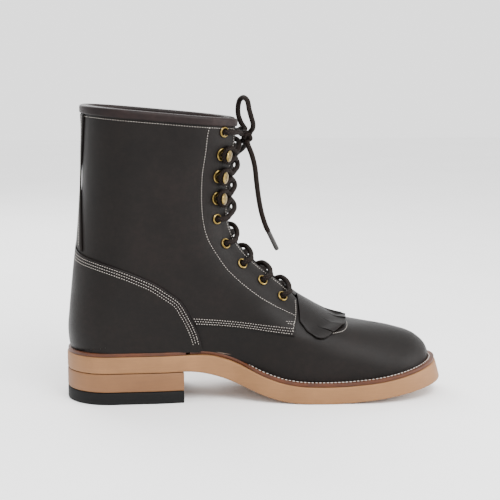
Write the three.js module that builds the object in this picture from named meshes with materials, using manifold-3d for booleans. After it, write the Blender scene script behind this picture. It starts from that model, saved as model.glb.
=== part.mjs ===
// A left lace-up packer boot: leather upper on a welted leather sole with a stacked heel.
// Millimetres. +X runs to the toe, +Z up, -Y is the inner (medial) side of the foot.
// Inside this file x = 0 is the rear of the heel and z = 0 the ground; the exported group is
// moved at the end so that its origin is the middle of the footprint.
import * as THREE from "three";
import { mergeVertices } from "three/addons/utils/BufferGeometryUtils.js";
import Module from "manifold-3d";

const wasm = await Module();
wasm.setup();

// ---------------------------------------------------------------- driving dimensions

const clearance = 0.3; // air left between pieces that touch on the real boot
const lastLength = 303.4; // heel line to the tip of the upper
const shaftHeight = 240; // ground to the rim at the back
const soleRear = 0.8; // rear of the heel stack
const soleMarginToe = 5.2; // how far the sole stands out past the tip of the upper
const soleToeRake = 4.4; // how far the sole's lower edge runs past its top edge at the toe
const soleRearRadius = 36; // plan radius of the heel seat
const soleToeRadius = 64; // plan radius of the sole's tip
const toeRadius = 60; // plan radius of the toe box
const welt = { height: 2.65, inset: 0.8, width: 9, start: 101 };
const heel = { breast: 96, liftHeight: 10, blockTop: 25.5 };
const leather = { vamp: 1.7, quarter: 1.6, foxing: 1.6, backstay: 1.4, lining: 1.2, tongue: 1.6 };
const laceRadius = 2.1;
const throatHalfGap = 10.5; // facing edge to the middle of the boot
const eyelet = { count: 9, hooks: [1, 2, 3], rowTop: 22.5, rowBottom: 20.5 };
const lacePitch = { first: 9.8, hook: 18, hookToEyelet: 17, eyelet: 22 }; // shares of the facing's length
const grommet = { hole: 3, barrel: 3.4, flange: 4.4, rim: 0.4, crown: 0.8 };
const hook = {
  ring: laceRadius + 3,
  plate: 0.6,
  rivet: 2.3,
  bore: 1.5,
  disc: 4.7,
  discEdge: 0.5,
  discCrown: 1,
  reach: 2,
  headroom: 2.1, // from the top of a lace in the hook to the middle of its disc
  tilt: 22,
  neckWidth: 3.2,
  neckThick: 1.2,
};
const latheSides = { eyelet: 8, hook: 10 };
const laceLift = { under: 1.1, over: 0.7, hook: 0.75 }; // air between a lace and what it lies on
const binding = { drop: 5, rise: 1.6, wall: 1.2, bevel: 0.5 };
const kiltieHingeX = 190.7;
const insole = { thickness: 2.5, inset: 5.2, toeGap: 10.5 };
const footbed = { thickness: 2.4, inset: 6.8, toeGap: 16 };
const shank = { from: 42, to: 150, width: 14, thickness: 1.6 };
const cork = { from: 158, air: 2 };
const aglet = { radius: 1.9, length: 17 };
const knotRadii = [5.6, 8, 6];
const sheetTrim = 0.7; // the lasted layers are trimmed this far above the feather edge
const seatTolerance = 0.5; // air under the rims of eyelets and hooks, which sit on a curved leather

// Outlines and profiles below are patterns for a boot of this length and height; a longer or
// taller boot stretches them, the height only above the ankle.
const pattern = { length: 303.4, height: 240, ankle: 100, throatHalfGap: 10.5, laceOver: 4.7 };
const stretch = lastLength / pattern.length;
const liftRate = (shaftHeight - pattern.height) / (pattern.height - pattern.ankle);
const lift = (z) => z + Math.max(0, z - pattern.ankle) * liftRate;
const soleToe = lastLength + soleMarginToe;
const upperMargin = welt.height + 2 * clearance; // feather edge above the top of the outsole

// Layers of the upper, as distances outward from the outer face of the vamp.
const vampLayer = { inner: -leather.vamp, outer: 0 };
const quarterLayer = { inner: clearance, outer: clearance + leather.quarter };
const foxingLayer = {
  inner: quarterLayer.outer + clearance,
  outer: quarterLayer.outer + clearance + leather.foxing,
};
const backstayLayer = { inner: foxingLayer.inner, outer: foxingLayer.inner + leather.backstay };
const liningLayer = {
  inner: vampLayer.inner - clearance - leather.lining,
  outer: vampLayer.inner - clearance,
};
const laceUnder = vampLayer.inner - laceLift.under - laceRadius; // lace running beneath a facing
const laceOver = quarterLayer.outer + laceLift.over + laceRadius; // lace lying on a facing
const tongueLayer = {
  inner: laceUnder - laceRadius - 2 * clearance - leather.tongue,
  outer: laceUnder - laceRadius - 2 * clearance,
};

// ---------------------------------------------------------------- smooth curves

// Monotone cubic through [position, value] pairs.
function curve(pairs) {
  const xs = pairs.map((p) => p[0]);
  const ys = pairs.map((p) => p[1]);
  const last = xs.length - 1;
  const step = xs.slice(1).map((x, i) => x - xs[i]);
  const rise = step.map((h, i) => (ys[i + 1] - ys[i]) / h);
  const slope = xs.map((_, i) => {
    if (i === 0) return rise[0];
    if (i === last) return rise[last - 1];
    if (rise[i - 1] * rise[i] <= 0) return 0;
    const a = 2 * step[i] + step[i - 1];
    const b = step[i] + 2 * step[i - 1];
    return (a + b) / (a / rise[i - 1] + b / rise[i]);
  });
  return (x) => {
    const at = THREE.MathUtils.clamp(x, xs[0], xs[last]);
    let i = 0;
    while (i < last - 1 && at > xs[i + 1]) i += 1;
    const h = step[i];
    const t = (at - xs[i]) / h;
    const back = (1 - t) * (1 - t);
    return (
      (1 + 2 * t) * back * ys[i] +
      t * back * h * slope[i] +
      t * t * (3 - 2 * t) * ys[i + 1] +
      t * t * (t - 1) * h * slope[i + 1]
    );
  };
}

const alongBoot = (pairs) => curve(pairs.map(([x, value]) => [x * stretch, value]));

// Quarter of an ellipse: 0 at t = 0, 1 from t = 1 on.
function dome(t) {
  const rest = 1 - THREE.MathUtils.clamp(t, 0, 1);
  return Math.sqrt(Math.max(0, 1 - rest * rest));
}

// ---------------------------------------------------------------- the last: shape of the foot and leg

const soleTop = alongBoot([
  [0, 39.5], [100, 39.5], [115, 38.6], [130, 35.2], [140, 31.4], [150, 26.8], [160, 22.2], [170, 18.6],
  [180, 16], [195, 14.3], [210, 14], [225, 14.3], [240, 15.5], [255, 17.3], [270, 19.7], [285, 22.7],
  [300, 26.2], [312, 29],
]);
const soleBottom = alongBoot([
  [0, 25.8], [97, 25.8], [108, 24.6], [116, 22.8], [130, 18.6], [140, 14.6], [150, 10.2], [160, 6.2],
  [170, 3.2], [180, 1.2], [190, 0.3], [200, 0], [215, 0], [230, 0.7], [245, 2.2], [260, 4.2], [275, 6.6],
  [290, 9.4], [305, 12], [314, 13.6],
]);
const feather = (x) => soleTop(x) + upperMargin - sheetTrim;

// Stations fan out from the back line and the feather edge to the front line and the ridge:
// [back x, back z, front x, front z] on the shaft, [feather x, ridge x, ridge z] on the foot.
const shaftStations = [
  [18.2, 240, 141, 228.5],
  [18.8, 222, 140.3, 212],
  [18.2, 201, 137.3, 193.5],
  [17.4, 178, 134.6, 174],
  [15.4, 152, 134.3, 152],
  [13.4, 131, 138.5, 135],
  [11, 112, 146.5, 122],
  [8.8, 92, 157, 111],
  [6.9, 74, 168, 102],
  [5.6, 58, 178.5, 93.5],
];
const footStations = [
  [8.2, 189.5, 83.5], [40, 203, 75], [75, 216, 67.8], [105, 228, 61.8], [135, 240, 59.7], [165, 251, 58.2],
  [195, 261, 56.7], [222, 270, 55.1], [245, 277.5, 53.2], [263, 284, 51.4], [278, 290, 48.8],
  [288, 295, 45.2], [296, 299.3, 41], [301, 302, 35.8], [303, 303.2, 32.7],
];
const stations = [
  ...shaftStations.map(([bx, bz, fx, fz]) => [bx * stretch, lift(bz), fx * stretch, lift(fz)]),
  ...footStations.map(([bx, tx, tz]) => [bx * stretch, feather(bx * stretch), tx * stretch, tz]),
];
const heelStation = shaftStations.length; // the station that starts at the heel's lower corner
const heelPoint = footStations[0][0] * stretch;
const toeStation = stations.length - 1;
const column = (k) => curve(stations.map((s, i) => [i, s[k]]));
const backX = column(0);
const backZ = column(1);
const frontX = column(2);
const frontZ = column(3);
const lowerZ = (s) => (s >= heelStation ? feather(backX(s)) : backZ(s));

const innerHalf = alongBoot([
  [0, 30], [45, 30], [75, 30], [100, 28.5], [120, 27], [135, 28.5], [150, 32], [175, 39], [200, 43.5],
  [222, 44.5], [245, 44.5], [303, 44.5],
]);
const outerHalf = alongBoot([
  [0, 30], [45, 30], [75, 31.5], [100, 33], [120, 35.5], [150, 42], [175, 47], [195, 50], [215, 50],
  [240, 48], [260, 46], [303, 46],
]);
const legHalf = curve([[0, 33], [60, 33], [115, 32.5], [150, 32.5], [240, 33]]);
const centreShift = alongBoot([[0, 0], [215, 0], [260, -3], [303, -7]]);
const ridgeDepth = curve([[0, 44], [6, 48], [10, 50], [13, 52], [17, 46], [20, 28], [toeStation, 6]]);
const backDepth = curve([[42, 32], [70, 34], [110, 40], [240, 42]]);
const footToLeg = { from: 25, to: 105 };

// A point on the last: station s, and g from 0 on the front line to -1 (inner) or 1 (outer side).
function lastPoint(s, g) {
  const h = (1 + Math.cos(Math.PI * Math.abs(g))) / 2;
  const bx = backX(s);
  const bz = lowerZ(s);
  const dx = frontX(s) - bx;
  const dz = frontZ(s) - bz;
  const x = bx + dx * h;
  const z = bz + dz * h;
  const foot = g < 0 ? innerHalf(x) : outerHalf(x);
  const leg = THREE.MathUtils.smoothstep(z, footToLeg.from, footToLeg.to);
  const width = THREE.MathUtils.lerp(foot, legHalf(z), leg);
  const fromBack = x - backX(Math.min(s, heelStation));
  const half =
    width *
    dome(fromBack / backDepth(z)) *
    dome(((1 - h) * Math.hypot(dx, dz)) / ridgeDepth(s)) *
    dome((lastLength - x) / toeRadius);
  return new THREE.Vector3(x, (g < 0 ? -half : half) + centreShift(x), z);
}

function lastNormal(s, g) {
  const e = 1e-3;
  // the back line and the feather edge meet in a corner, which a difference must not cross
  const onBack = s <= heelStation;
  const s0 = Math.max(onBack ? 0 : heelStation, s - 8 * e);
  const s1 = Math.min(onBack ? heelStation : toeStation, s + 8 * e);
  const g0 = Math.max(-1, g - e);
  const g1 = Math.min(1, g + e);
  const along = lastPoint(s1, g).sub(lastPoint(s0, g));
  const across = lastPoint(s, g1).sub(lastPoint(s, g0));
  return along.cross(across).normalize();
}

const onLast = (s, g, out) => lastPoint(s, g).addScaledVector(lastNormal(s, g), out);

// The g of the point of station s that stands y to one side of the middle line.
function sideAt(s, y) {
  let near = 0;
  let far = 0.5;
  for (let i = 0; i < 40; i += 1) {
    const mid = (near + far) / 2;
    const p = lastPoint(s, Math.sign(y) * mid);
    if (Math.abs(p.y - centreShift(p.x)) < Math.abs(y)) near = mid;
    else far = mid;
  }
  return (Math.sign(y) * (near + far)) / 2;
}

const onFace = (s, y, out) => onLast(s, y === 0 ? 0 : sideAt(s, y), out);

// ---------------------------------------------------------------- closed solids from patches

function geometryOf(points, triangles) {
  const g = new THREE.BufferGeometry();
  const numbers = new Float32Array(points.flatMap((p) => [p.x, p.y, p.z]));
  g.setAttribute("position", new THREE.BufferAttribute(numbers, 3));
  g.setIndex(triangles.flat());
  return g;
}

function signedVolume(points, triangles) {
  return triangles.reduce((sum, [a, b, c]) => sum + points[a].dot(points[b].clone().cross(points[c])), 0);
}

function closed(points, triangles) {
  const out = signedVolume(points, triangles) < 0 ? triangles.map(([a, b, c]) => [a, c, b]) : triangles;
  return geometryOf(points, out);
}

const latticeRows = [
  1.6, 3, 4, 4.7, 5.4, 6.2, 7.2, 8.4, 10, 10.1, 10.3, 10.6, 11, 12, 13, 14.2, 15.8, 17.5, 19, 20.5,
  21.7, 22.8,
];
const latticeSides = 10;

// One whole layer of the upper as a closed sheet between two stations. All layers share one
// lattice, so that their facets run parallel and stay apart.
function layerSheet(layer, from, to) {
  const rows = [from, ...latticeRows.filter((r) => r > from + 0.1 && r < to - 0.1), to];
  const seats = [];
  const grid = rows.map((s) => {
    const row = [];
    for (let k = -latticeSides; k <= latticeSides; k += 1) {
      const shared = k === latticeSides && s <= heelStation;
      if (!shared) seats.push([s, k / latticeSides]);
      row.push(shared ? row[0] : seats.length - 1);
    }
    return row;
  });
  const cells = [];
  for (let i = 0; i + 1 < rows.length; i += 1) {
    for (let k = 0; k < 2 * latticeSides; k += 1) {
      const quad = [grid[i][k], grid[i][k + 1], grid[i + 1][k + 1], grid[i + 1][k]];
      if (k < latticeSides) cells.push([quad[0], quad[1], quad[2]], [quad[0], quad[2], quad[3]]);
      else cells.push([quad[0], quad[1], quad[3]], [quad[1], quad[2], quad[3]]);
    }
  }
  const n = seats.length;
  const points = [
    ...seats.map(([s, g]) => onLast(s, g, layer.outer)),
    ...seats.map(([s, g]) => onLast(s, g, layer.inner)),
  ];
  const edges = new Set(cells.flatMap(([p, q, r]) => [`${p},${q}`, `${q},${r}`, `${r},${p}`]));
  const walls = [...edges]
    .map((e) => e.split(",").map(Number))
    .filter(([p, q]) => !edges.has(`${q},${p}`))
    .flatMap(([p, q]) => [[q, p, p + n], [q, p + n, q + n]]);
  const under = cells.map(([p, q, r]) => [p + n, r + n, q + n]);
  return closed(points, [...cells, ...under, ...walls]);
}

// Everything below the trimmed feather edge, as a side-view outline.
const featherXs = Array.from({ length: 47 }, (_, i) => -30 + i * 8);
const belowFeather = [[-30, -30], ...featherXs.map((x) => [x, feather(x * stretch) + sheetTrim]), [338, -30]];

// A side-view pattern outline as a block from y0 to y1.
function outlineBlock(outline, y0 = -90, y1 = 90) {
  const shape = new THREE.Shape(outline.map(([x, z]) => new THREE.Vector2(x * stretch, lift(z))));
  const block = new THREE.ExtrudeGeometry(shape, { depth: y1 - y0, bevelEnabled: false, steps: 1 });
  return block.rotateX(Math.PI / 2).translate(0, y1, 0);
}

// Sweeps matching rings of points into one closed solid; the caps follow the flat outline.
function loft(rings, flat) {
  const n = rings[0].length;
  const triangles = [];
  for (let i = 0; i + 1 < rings.length; i += 1) {
    for (let j = 0; j < n; j += 1) {
      const a = i * n + j;
      const b = i * n + ((j + 1) % n);
      triangles.push([a, b, b + n], [a, b + n, a + n]);
    }
  }
  const outline = flat.map(([u, v]) => new THREE.Vector2(u, v));
  const last = (rings.length - 1) * n;
  for (const [a, b, c] of THREE.ShapeUtils.triangulateShape(outline, [])) {
    triangles.push([a, c, b], [a + last, b + last, c + last]);
  }
  return closed(rings.flat(), triangles);
}

// ---------------------------------------------------------------- booleans

function solidOf(geometry) {
  const bare = geometry.clone();
  bare.deleteAttribute("normal");
  bare.deleteAttribute("uv");
  const merged = mergeVertices(bare, 1e-4);
  return new wasm.Manifold(
    new wasm.Mesh({
      numProp: 3,
      vertProperties: merged.attributes.position.array,
      triVerts: new Uint32Array(merged.index.array),
    }),
  );
}

// The main body of a boolean's result; slivers that a trimmed edge leaves are dropped.
function geometryFrom(solid) {
  const bodies = solid.decompose();
  const whole = bodies.reduce((best, body) => (body.volume() > best.volume() ? body : best));
  const mesh = whole.simplify(0.02).getMesh();
  const g = new THREE.BufferGeometry();
  g.setAttribute("position", new THREE.BufferAttribute(new Float32Array(mesh.vertProperties), 3));
  g.setIndex(new THREE.BufferAttribute(new Uint32Array(mesh.triVerts), 1));
  return g;
}

const join = (geometries) =>
  geometryFrom(geometries.slice(1).reduce((solid, g) => solid.add(solidOf(g)), solidOf(geometries[0])));

// ---------------------------------------------------------------- assembly

const boot = new THREE.Group();
const colours = {
  upper: { color: 0x2f2a28, roughness: 0.45 },
  lining: { color: 0x6b5645, roughness: 0.8 },
  sole: { color: 0xbe9673, roughness: 0.55 },
  heel: { color: 0xa57d5f, roughness: 0.55 },
  welt: { color: 0x733c14, roughness: 0.6 },
  rubber: { color: 0x262626, roughness: 0.8 },
  brass: { color: 0x968246, roughness: 0.35, metalness: 1 },
  lace: { color: 0x3c3028, roughness: 0.85 },
  cork: { color: 0x9a7046, roughness: 0.9 },
  steel: { color: 0x8d9196, roughness: 0.4, metalness: 1 },
};

function add(name, geometry, finish, parent = boot) {
  const mesh = new THREE.Mesh(geometry, new THREE.MeshStandardMaterial(finish));
  mesh.name = name;
  parent.add(mesh);
  return mesh;
}

// ---------------------------------------------------------------- lace stations

const arcStep = 0.01;
const lowestLace = 9.74; // station of the lowest eyelets, just behind the kiltie

// Places every 0.01 station down the lace row: [station, distance from the rim].
const rowRun = [[0, 0]];
for (let s = arcStep, from = onFace(0, eyelet.rowTop, 0); s < lowestLace; s += arcStep) {
  const next = onFace(s, eyelet.rowTop, 0);
  rowRun.push([s, rowRun[rowRun.length - 1][1] + next.distanceTo(from)]);
  from = next;
}
const underRim = binding.drop + grommet.flange + clearance; // the top eyelet clears the binding
const facingLength = rowRun[rowRun.length - 1][1];

const laceDistances = [lacePitch.first];
for (let i = 1; i < eyelet.count; i += 1) {
  const intoHook = eyelet.hooks.includes(i);
  const outOfHook = eyelet.hooks.includes(i - 1);
  const pitch = intoHook ? lacePitch.hook : outOfHook ? lacePitch.hookToEyelet : lacePitch.eyelet;
  laceDistances.push(laceDistances[i - 1] + pitch);
}
const lastDistance = laceDistances[eyelet.count - 1];
const facingShare = facingLength / lastDistance;
const firstRun = Math.max(underRim, lacePitch.first * facingShare);
const restShare = (facingLength - firstRun) / (lastDistance - lacePitch.first);
const laceRuns = laceDistances.map((d) => firstRun + (d - lacePitch.first) * restShare);
const laceStations = laceRuns.map((reach) => rowRun.find(([, run]) => run >= reach - 1e-6)[0]);
const rowHalf = (i) => THREE.MathUtils.lerp(eyelet.rowTop, eyelet.rowBottom, i / (eyelet.count - 1));
const isHook = (i) => eyelet.hooks.includes(i);

// Frame at a lace station: origin on the vamp's outer face, Y out of the leather, X to the throat.
function stationFrame(i, side) {
  const s = laceStations[i];
  const g = sideAt(s, side * rowHalf(i));
  const origin = lastPoint(s, g);
  const out = lastNormal(s, g);
  const throat = lastPoint(s, g * 0.9).sub(origin);
  throat.addScaledVector(out, -throat.dot(out)).normalize();
  const along = new THREE.Vector3().crossVectors(throat, out);
  return new THREE.Matrix4().makeBasis(throat, out, along).setPosition(origin);
}

const lathe = (profile, segments) =>
  new THREE.LatheGeometry(profile.map(([r, h]) => new THREE.Vector2(r, h)), segments);
const holeTool = (i, side, radius) =>
  new THREE.CylinderGeometry(radius, radius, 16, 8).applyMatrix4(stationFrame(i, side));

function facingHoles(side) {
  return laceStations.map((_, i) =>
    holeTool(i, side, (isHook(i) ? hook.rivet : grommet.barrel) + clearance),
  );
}

// ---------------------------------------------------------------- upper

const foxingTop = [
  [-20, 136], [8, 126.8], [15, 121.7], [19, 119.9], [30, 116.8], [44.5, 112], [58.5, 106.3], [73.5, 99.3],
  [82.7, 93], [93, 85.3], [99.4, 75], [104.2, 65.4], [107.2, 58], [110, 48], [112.5, 36],
];
const facingSeam = [
  [117.5, 260], [117.3, 226.4], [115.7, 218], [113.8, 203], [111.4, 188], [110.5, 174],
  [110.9, 155.8], [112.6, 143.4], [116.2, 132], [122.3, 121.5], [131.9, 108], [151.2, 90.4], [168.9, 78.3],
];
const seamGap = 0.8;
const stiffenerFoot = 44.4;
const quarterFoot = 49; // the quarter is trimmed short under the heel foxing
const stiffenerTop = [[-20, 109], [30, 105], [60, 96], [95.5, 80.5]];
const raised = (points, dz) => points.map(([x, z]) => [x, z + dz]);
const aboveRim = 262;
const stayTop = pattern.height - (binding.drop + 2 * clearance) / (1 + liftRate);

const outlines = {
  quarter: [
    [-20, aboveRim], [189.9, aboveRim], [189.9, 80.6], [188.3, 69], [185.5, 54.5], [147, 60.8], [110.5, 64.2],
    [100, 64.5], [100, quarterFoot], [-20, quarterFoot],
  ],
  foxing: [...foxingTop, [-20, 36]],
  backstay: [
    [-20, stayTop], [20.6, stayTop], [17.5, 181], [17, 141], [16.8, 121.7],
    ...raised(foxingTop.slice(0, 3), seamGap).reverse(),
  ],
  facing: [...facingSeam, [176, 73.8], [189.5, 79.8], [189.5, aboveRim]],
  lining: [
    [-20, aboveRim],
    ...facingSeam.map(([x, z]) => [x - seamGap, z - seamGap]),
    [171, 74], [147, 73.4], [97, 79.4],
    ...raised(stiffenerTop, seamGap).reverse(),
  ],
  stiffener: [...stiffenerTop, [95.5, stiffenerFoot], [-20, stiffenerFoot]],
  heelLining: [[-20, 121], [30, 115], [60, 106], [95.5, 90], [95.5, 30], [-20, 30]],
  vamp: [
    [97, 76.5], [147, 71.5], [180, 68.5], [189, 76.5], [191.2, 84], [191.2, 110], [330, 110], [330, -20],
    [97, -20],
  ],
  vampLining: [[97, 72], [150, 66], [184, 64], [195, 70], [197, 110], [249, 110], [249, -20], [97, -20]],
  toePuff: [[250, 110], [330, 110], [330, -20], [250, -20]],
  tongue: [
    [110, aboveRim], [103, 190], [102, 160], [105, 140], [113, 122], [125, 104], [145, 86], [165, 72], [176, 66],
    [198, 66], [206, 110], [200, aboveRim],
  ],
  kiltie: [
    [kiltieHingeX, 110], [kiltieHingeX, 68.5], [190.2, 64.5], [203.5, 52.5], [209.5, 51.8], [216, 54.4],
    [224, 57.6], [231, 59.5], [233, 64], [233, 110],
  ],
  vampTab: [[184, 110], [184, 60], [192, 60], [192, 110]],
  kiltieRoot: [[184.2, 110], [184.2, 60], [kiltieHingeX - 0.5, 60], [kiltieHingeX - 0.5, 110]],
};

const rim = 0.02; // pieces start this far below the very top of the shaft
const lasted = (layer, from, to) =>
  solidOf(layerSheet(layer, from, to)).subtract(solidOf(outlineBlock(belowFeather)));
const layers = {
  vamp: lasted(vampLayer, rim, toeStation - 0.15),
  quarter: lasted(quarterLayer, rim, 17),
  foxing: lasted(foxingLayer, 4.8, 14),
  backstay: lasted(backstayLayer, 0.3, 7.2),
  lining: lasted(liningLayer, 4.8, toeStation - 1.4),
  tongue: lasted(tongueLayer, 0.3, 12),
};
const backSeam = 0.2;
const throatSlot = outlineBlock(
  [[70, -20], [70, aboveRim], [189.9, aboveRim], [189.9, -20]],
  -throatHalfGap,
  throatHalfGap,
);
const halfOf = (side) => (side < 0 ? [-90, -backSeam] : [backSeam, 90]);

function panel(layer, outline, side, tools = []) {
  const [y0, y1] = side === 0 ? [-90, 90] : halfOf(side);
  const cutOut = layers[layer].intersect(solidOf(outlineBlock(outline, y0, y1)));
  return geometryFrom(tools.reduce((solid, tool) => solid.subtract(solidOf(tool)), cutOut));
}

for (const [side, name] of [[-1, "medial"], [1, "lateral"]]) {
  const holes = facingHoles(side);
  add(`quarter_${name}`, panel("quarter", outlines.quarter, side, [throatSlot, ...holes]), colours.upper);
  add(`facing_stay_${name}`, panel("vamp", outlines.facing, side, [throatSlot, ...holes]), colours.lining);
  add(`quarter_lining_${name}`, panel("vamp", outlines.lining, side), colours.lining);
}
add("heel_foxing", panel("foxing", outlines.foxing, 0), colours.upper);
add("backstay", panel("backstay", outlines.backstay, 0), colours.upper);
add("heel_stiffener", panel("vamp", outlines.stiffener, 0), colours.lining);
add("heel_lining", panel("lining", outlines.heelLining, 0), colours.lining);
const vampBlock = join([
  outlineBlock(outlines.vamp),
  outlineBlock(outlines.vampTab, -throatHalfGap + clearance, throatHalfGap - clearance),
]);
add("vamp", geometryFrom(layers.vamp.intersect(solidOf(vampBlock))), colours.upper);
add("vamp_lining", panel("lining", outlines.vampLining, 0), colours.lining);
add("toe_puff", panel("lining", outlines.toePuff, 0), colours.lining);
add("tongue", panel("tongue", outlines.tongue, 0), colours.upper);
add("kiltie_flap", panel("quarter", outlines.kiltie, 0), colours.upper);
const rootBlock = outlineBlock(outlines.kiltieRoot, -throatHalfGap + clearance, throatHalfGap - clearance);
add("kiltie_root", geometryFrom(layers.quarter.intersect(solidOf(rootBlock))), colours.upper);

// Collar binding: a strip folded over the rim, open at the throat.
const bindingOuter = quarterLayer.outer + 2 * clearance;
const bindingInner = vampLayer.inner - 2 * clearance;
const bindingOutline = [
  [bindingOuter, -binding.drop], [bindingOuter + binding.wall, -binding.drop],
  [bindingOuter + binding.wall, binding.rise - binding.bevel],
  [bindingOuter + binding.wall - binding.bevel, binding.rise],
  [bindingInner - binding.wall + binding.bevel, binding.rise],
  [bindingInner - binding.wall, binding.rise - binding.bevel],
  [bindingInner - binding.wall, -binding.drop], [bindingInner, -binding.drop],
  [bindingInner, clearance], [bindingOuter, clearance],
];
const bindingEnd = Math.abs(sideAt(0, throatHalfGap));
const bindingSides = [bindingEnd];
for (let k = 1; k <= latticeSides; k += 1) {
  if (k / latticeSides > bindingEnd + 0.015) bindingSides.push(k / latticeSides);
}
const bindingPath = [...bindingSides.map((a) => -a), ...bindingSides.slice(0, -1).reverse()];
const bindingRings = bindingPath.map((g) => {
  const base = lastPoint(0, g);
  const out = lastNormal(0, g);
  const up = base.clone().sub(lastPoint(0.05, g)).normalize();
  return bindingOutline.map(([u, v]) => base.clone().addScaledVector(out, u).addScaledVector(up, v));
});
add("collar_binding", loft(bindingRings, bindingOutline), colours.upper);

// ---------------------------------------------------------------- bottom

const soleMargin = alongBoot([
  [0, 5.7], [75, 5.7], [97, 5], [115, 3.8], [135, 4], [160, 6], [200, 6.2], [245, 6], [303, 5.5],
]);

// Edge of the sole, moved in by an inset, on the inner (-1) or outer (1) side.
function soleEdge(x, side, inset) {
  const half = (side < 0 ? innerHalf(x) : outerHalf(x)) + soleMargin(x) - inset;
  const front = dome((soleToe - inset - x) / (soleToeRadius - inset));
  const back = dome((x - soleRear - inset) / (soleRearRadius - inset));
  return side * half * front * back + centreShift(x);
}

// Edge of the foot's own plan at the feather, moved in by an inset.
function footEdge(x, side, inset) {
  const half = (side < 0 ? innerHalf(x) : outerHalf(x)) - inset;
  const rear = heelPoint + inset;
  const front = dome((lastLength - inset - x) / (toeRadius - inset));
  const back = dome((x - rear) / (backDepth(0) - inset));
  return side * half * front * back + centreShift(x);
}

// Places along the sole: every 8 mm, and closer together towards a round end.
const solePitch = 8;
const roundEnd = [0, 0.8, 2.5, 6, 11, 17];
function alongSole(from, to, roundFrom = true, roundTo = true) {
  const start = roundFrom ? roundEnd.map((d) => from + d) : [from];
  const end = roundTo ? roundEnd.map((d) => to - d).reverse() : [to];
  const xs = [...start];
  for (let x = 0; x < end[0] - 3; x += solePitch) if (x > start[start.length - 1] + 3) xs.push(x);
  return [...xs, ...end];
}
const square = [[0, 0], [1, 0], [1, 1], [0, 1]];

// A board that follows the sole: its edges, and its lower and upper face as heights over x.
function board(xs, edge, low, high, rake = () => 0) {
  const rings = xs.map((x) => {
    const lower = x + rake(x);
    return [
      new THREE.Vector3(lower, edge(x, -1), low(lower)), new THREE.Vector3(lower, edge(x, 1), low(lower)),
      new THREE.Vector3(x, edge(x, 1), high(x)), new THREE.Vector3(x, edge(x, -1), high(x)),
    ];
  });
  return loft(rings, square);
}

const tip = 0.4; // a round end is cut this short of its tip
const toeRake = (x) => soleToeRake * THREE.MathUtils.smoothstep(x, 235, soleToe);
const onSole = (inset) => (x, side) => soleEdge(x, side, inset);
const onFoot = (inset) => (x, side) => footEdge(x, side, inset);

const soleXs = alongSole(soleRear + tip, soleToe - tip);
add("outsole", board(soleXs, onSole(0), soleBottom, soleTop, toeRake), colours.sole);
const heelXs = alongSole(soleRear + tip, heel.breast * stretch, true, false);
const flat = (z) => () => z;
const blockFoot = heel.liftHeight + clearance;
add("heel_block", board(heelXs, onSole(0), flat(blockFoot), flat(heel.blockTop)), colours.heel);
add("top_lift", board(heelXs, onSole(0), flat(0), flat(heel.liftHeight)), colours.rubber);

const above = (dz) => (x) => soleTop(x) + dz;
const insoleLow = upperMargin + clearance;
const insoleTop = insoleLow + insole.thickness;
const insoleXs = alongSole(heelPoint + insole.inset + tip, lastLength - insole.toeGap);
add("insole", board(insoleXs, onFoot(insole.inset), above(insoleLow), above(insoleTop)), colours.lining);
const footbedLow = insoleTop + clearance;
const footbedXs = alongSole(heelPoint + footbed.inset + tip, lastLength - footbed.toeGap);
add(
  "footbed",
  board(footbedXs, onFoot(footbed.inset), above(footbedLow), above(footbedLow + footbed.thickness)),
  colours.lining,
);
const corkInset = welt.inset + welt.width + cork.air;
const corkXs = alongSole(cork.from * stretch, soleToe - corkInset - tip, false);
const corkBoard = board(corkXs, onSole(corkInset), above(clearance), above(clearance + welt.height));
add("cork_filler", corkBoard, colours.cork);
const shankEdge = (x, side) => (side * shank.width) / 2 + centreShift(x);
const shankLow = 2 * clearance;
const shankXs = alongSole(shank.from * stretch, shank.to * stretch, false, false);
add(
  "shank",
  board(shankXs, shankEdge, above(shankLow), above(shankLow + shank.thickness)),
  colours.steel,
);

// A strip that runs round the edge of the sole's top: [x, side] stops, outer inset at each stop.
function edgeStrip(stops, insetAt, width) {
  const outer = stops.map(([x, side]) => new THREE.Vector2(x, soleEdge(x, side, insetAt(x, side))));
  const rings = outer.map((p, i) => {
    const run = outer[Math.min(i + 1, outer.length - 1)].clone().sub(outer[Math.max(i - 1, 0)]).normalize();
    const inner = new THREE.Vector2(-run.y, run.x).multiplyScalar(width).add(p);
    const corner = (at, dz) => new THREE.Vector3(at.x, at.y, soleTop(at.x) + dz);
    const level = [clearance, clearance + welt.height];
    return [corner(p, level[0]), corner(inner, level[0]), corner(inner, level[1]), corner(p, level[1])];
  });
  return loft(rings, square);
}

const weltStart = welt.start * stretch;
const waistTuck = alongBoot([[98, welt.inset], [110, 3.2], [140, 3.2], [154, welt.inset]]);
const weltInset = (x, side) => (side < 0 ? waistTuck(x) : welt.inset);
const randEnd = weltStart - 3.5;
const weltXs = alongSole(weltStart, soleToe - welt.inset - 0.05, false);
const bothSides = (xs, first) => [...xs.map((x) => [x, first]), ...[...xs].reverse().map((x) => [x, -first])];
add("welt", edgeStrip(bothSides(weltXs, -1), weltInset, welt.width), colours.welt);
const randXs = alongSole(soleRear + welt.inset + 0.05, randEnd, true, false).reverse();
add("heel_rand", edgeStrip(bothSides(randXs, 1), () => welt.inset, welt.width), colours.welt);

// ---------------------------------------------------------------- eyelets and hooks

const rimSeat = quarterLayer.outer + seatTolerance; // underside of the rim of an eyelet or hook
const eyeletProfile = [
  [grommet.hole, vampLayer.inner - clearance], [grommet.barrel, vampLayer.inner - clearance],
  [grommet.barrel, rimSeat], [grommet.flange, rimSeat], [grommet.flange, rimSeat + grommet.rim],
  [grommet.barrel, rimSeat + grommet.crown], [grommet.hole, rimSeat + grommet.crown - 0.2],
  [grommet.hole, vampLayer.inner - clearance],
];

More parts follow.
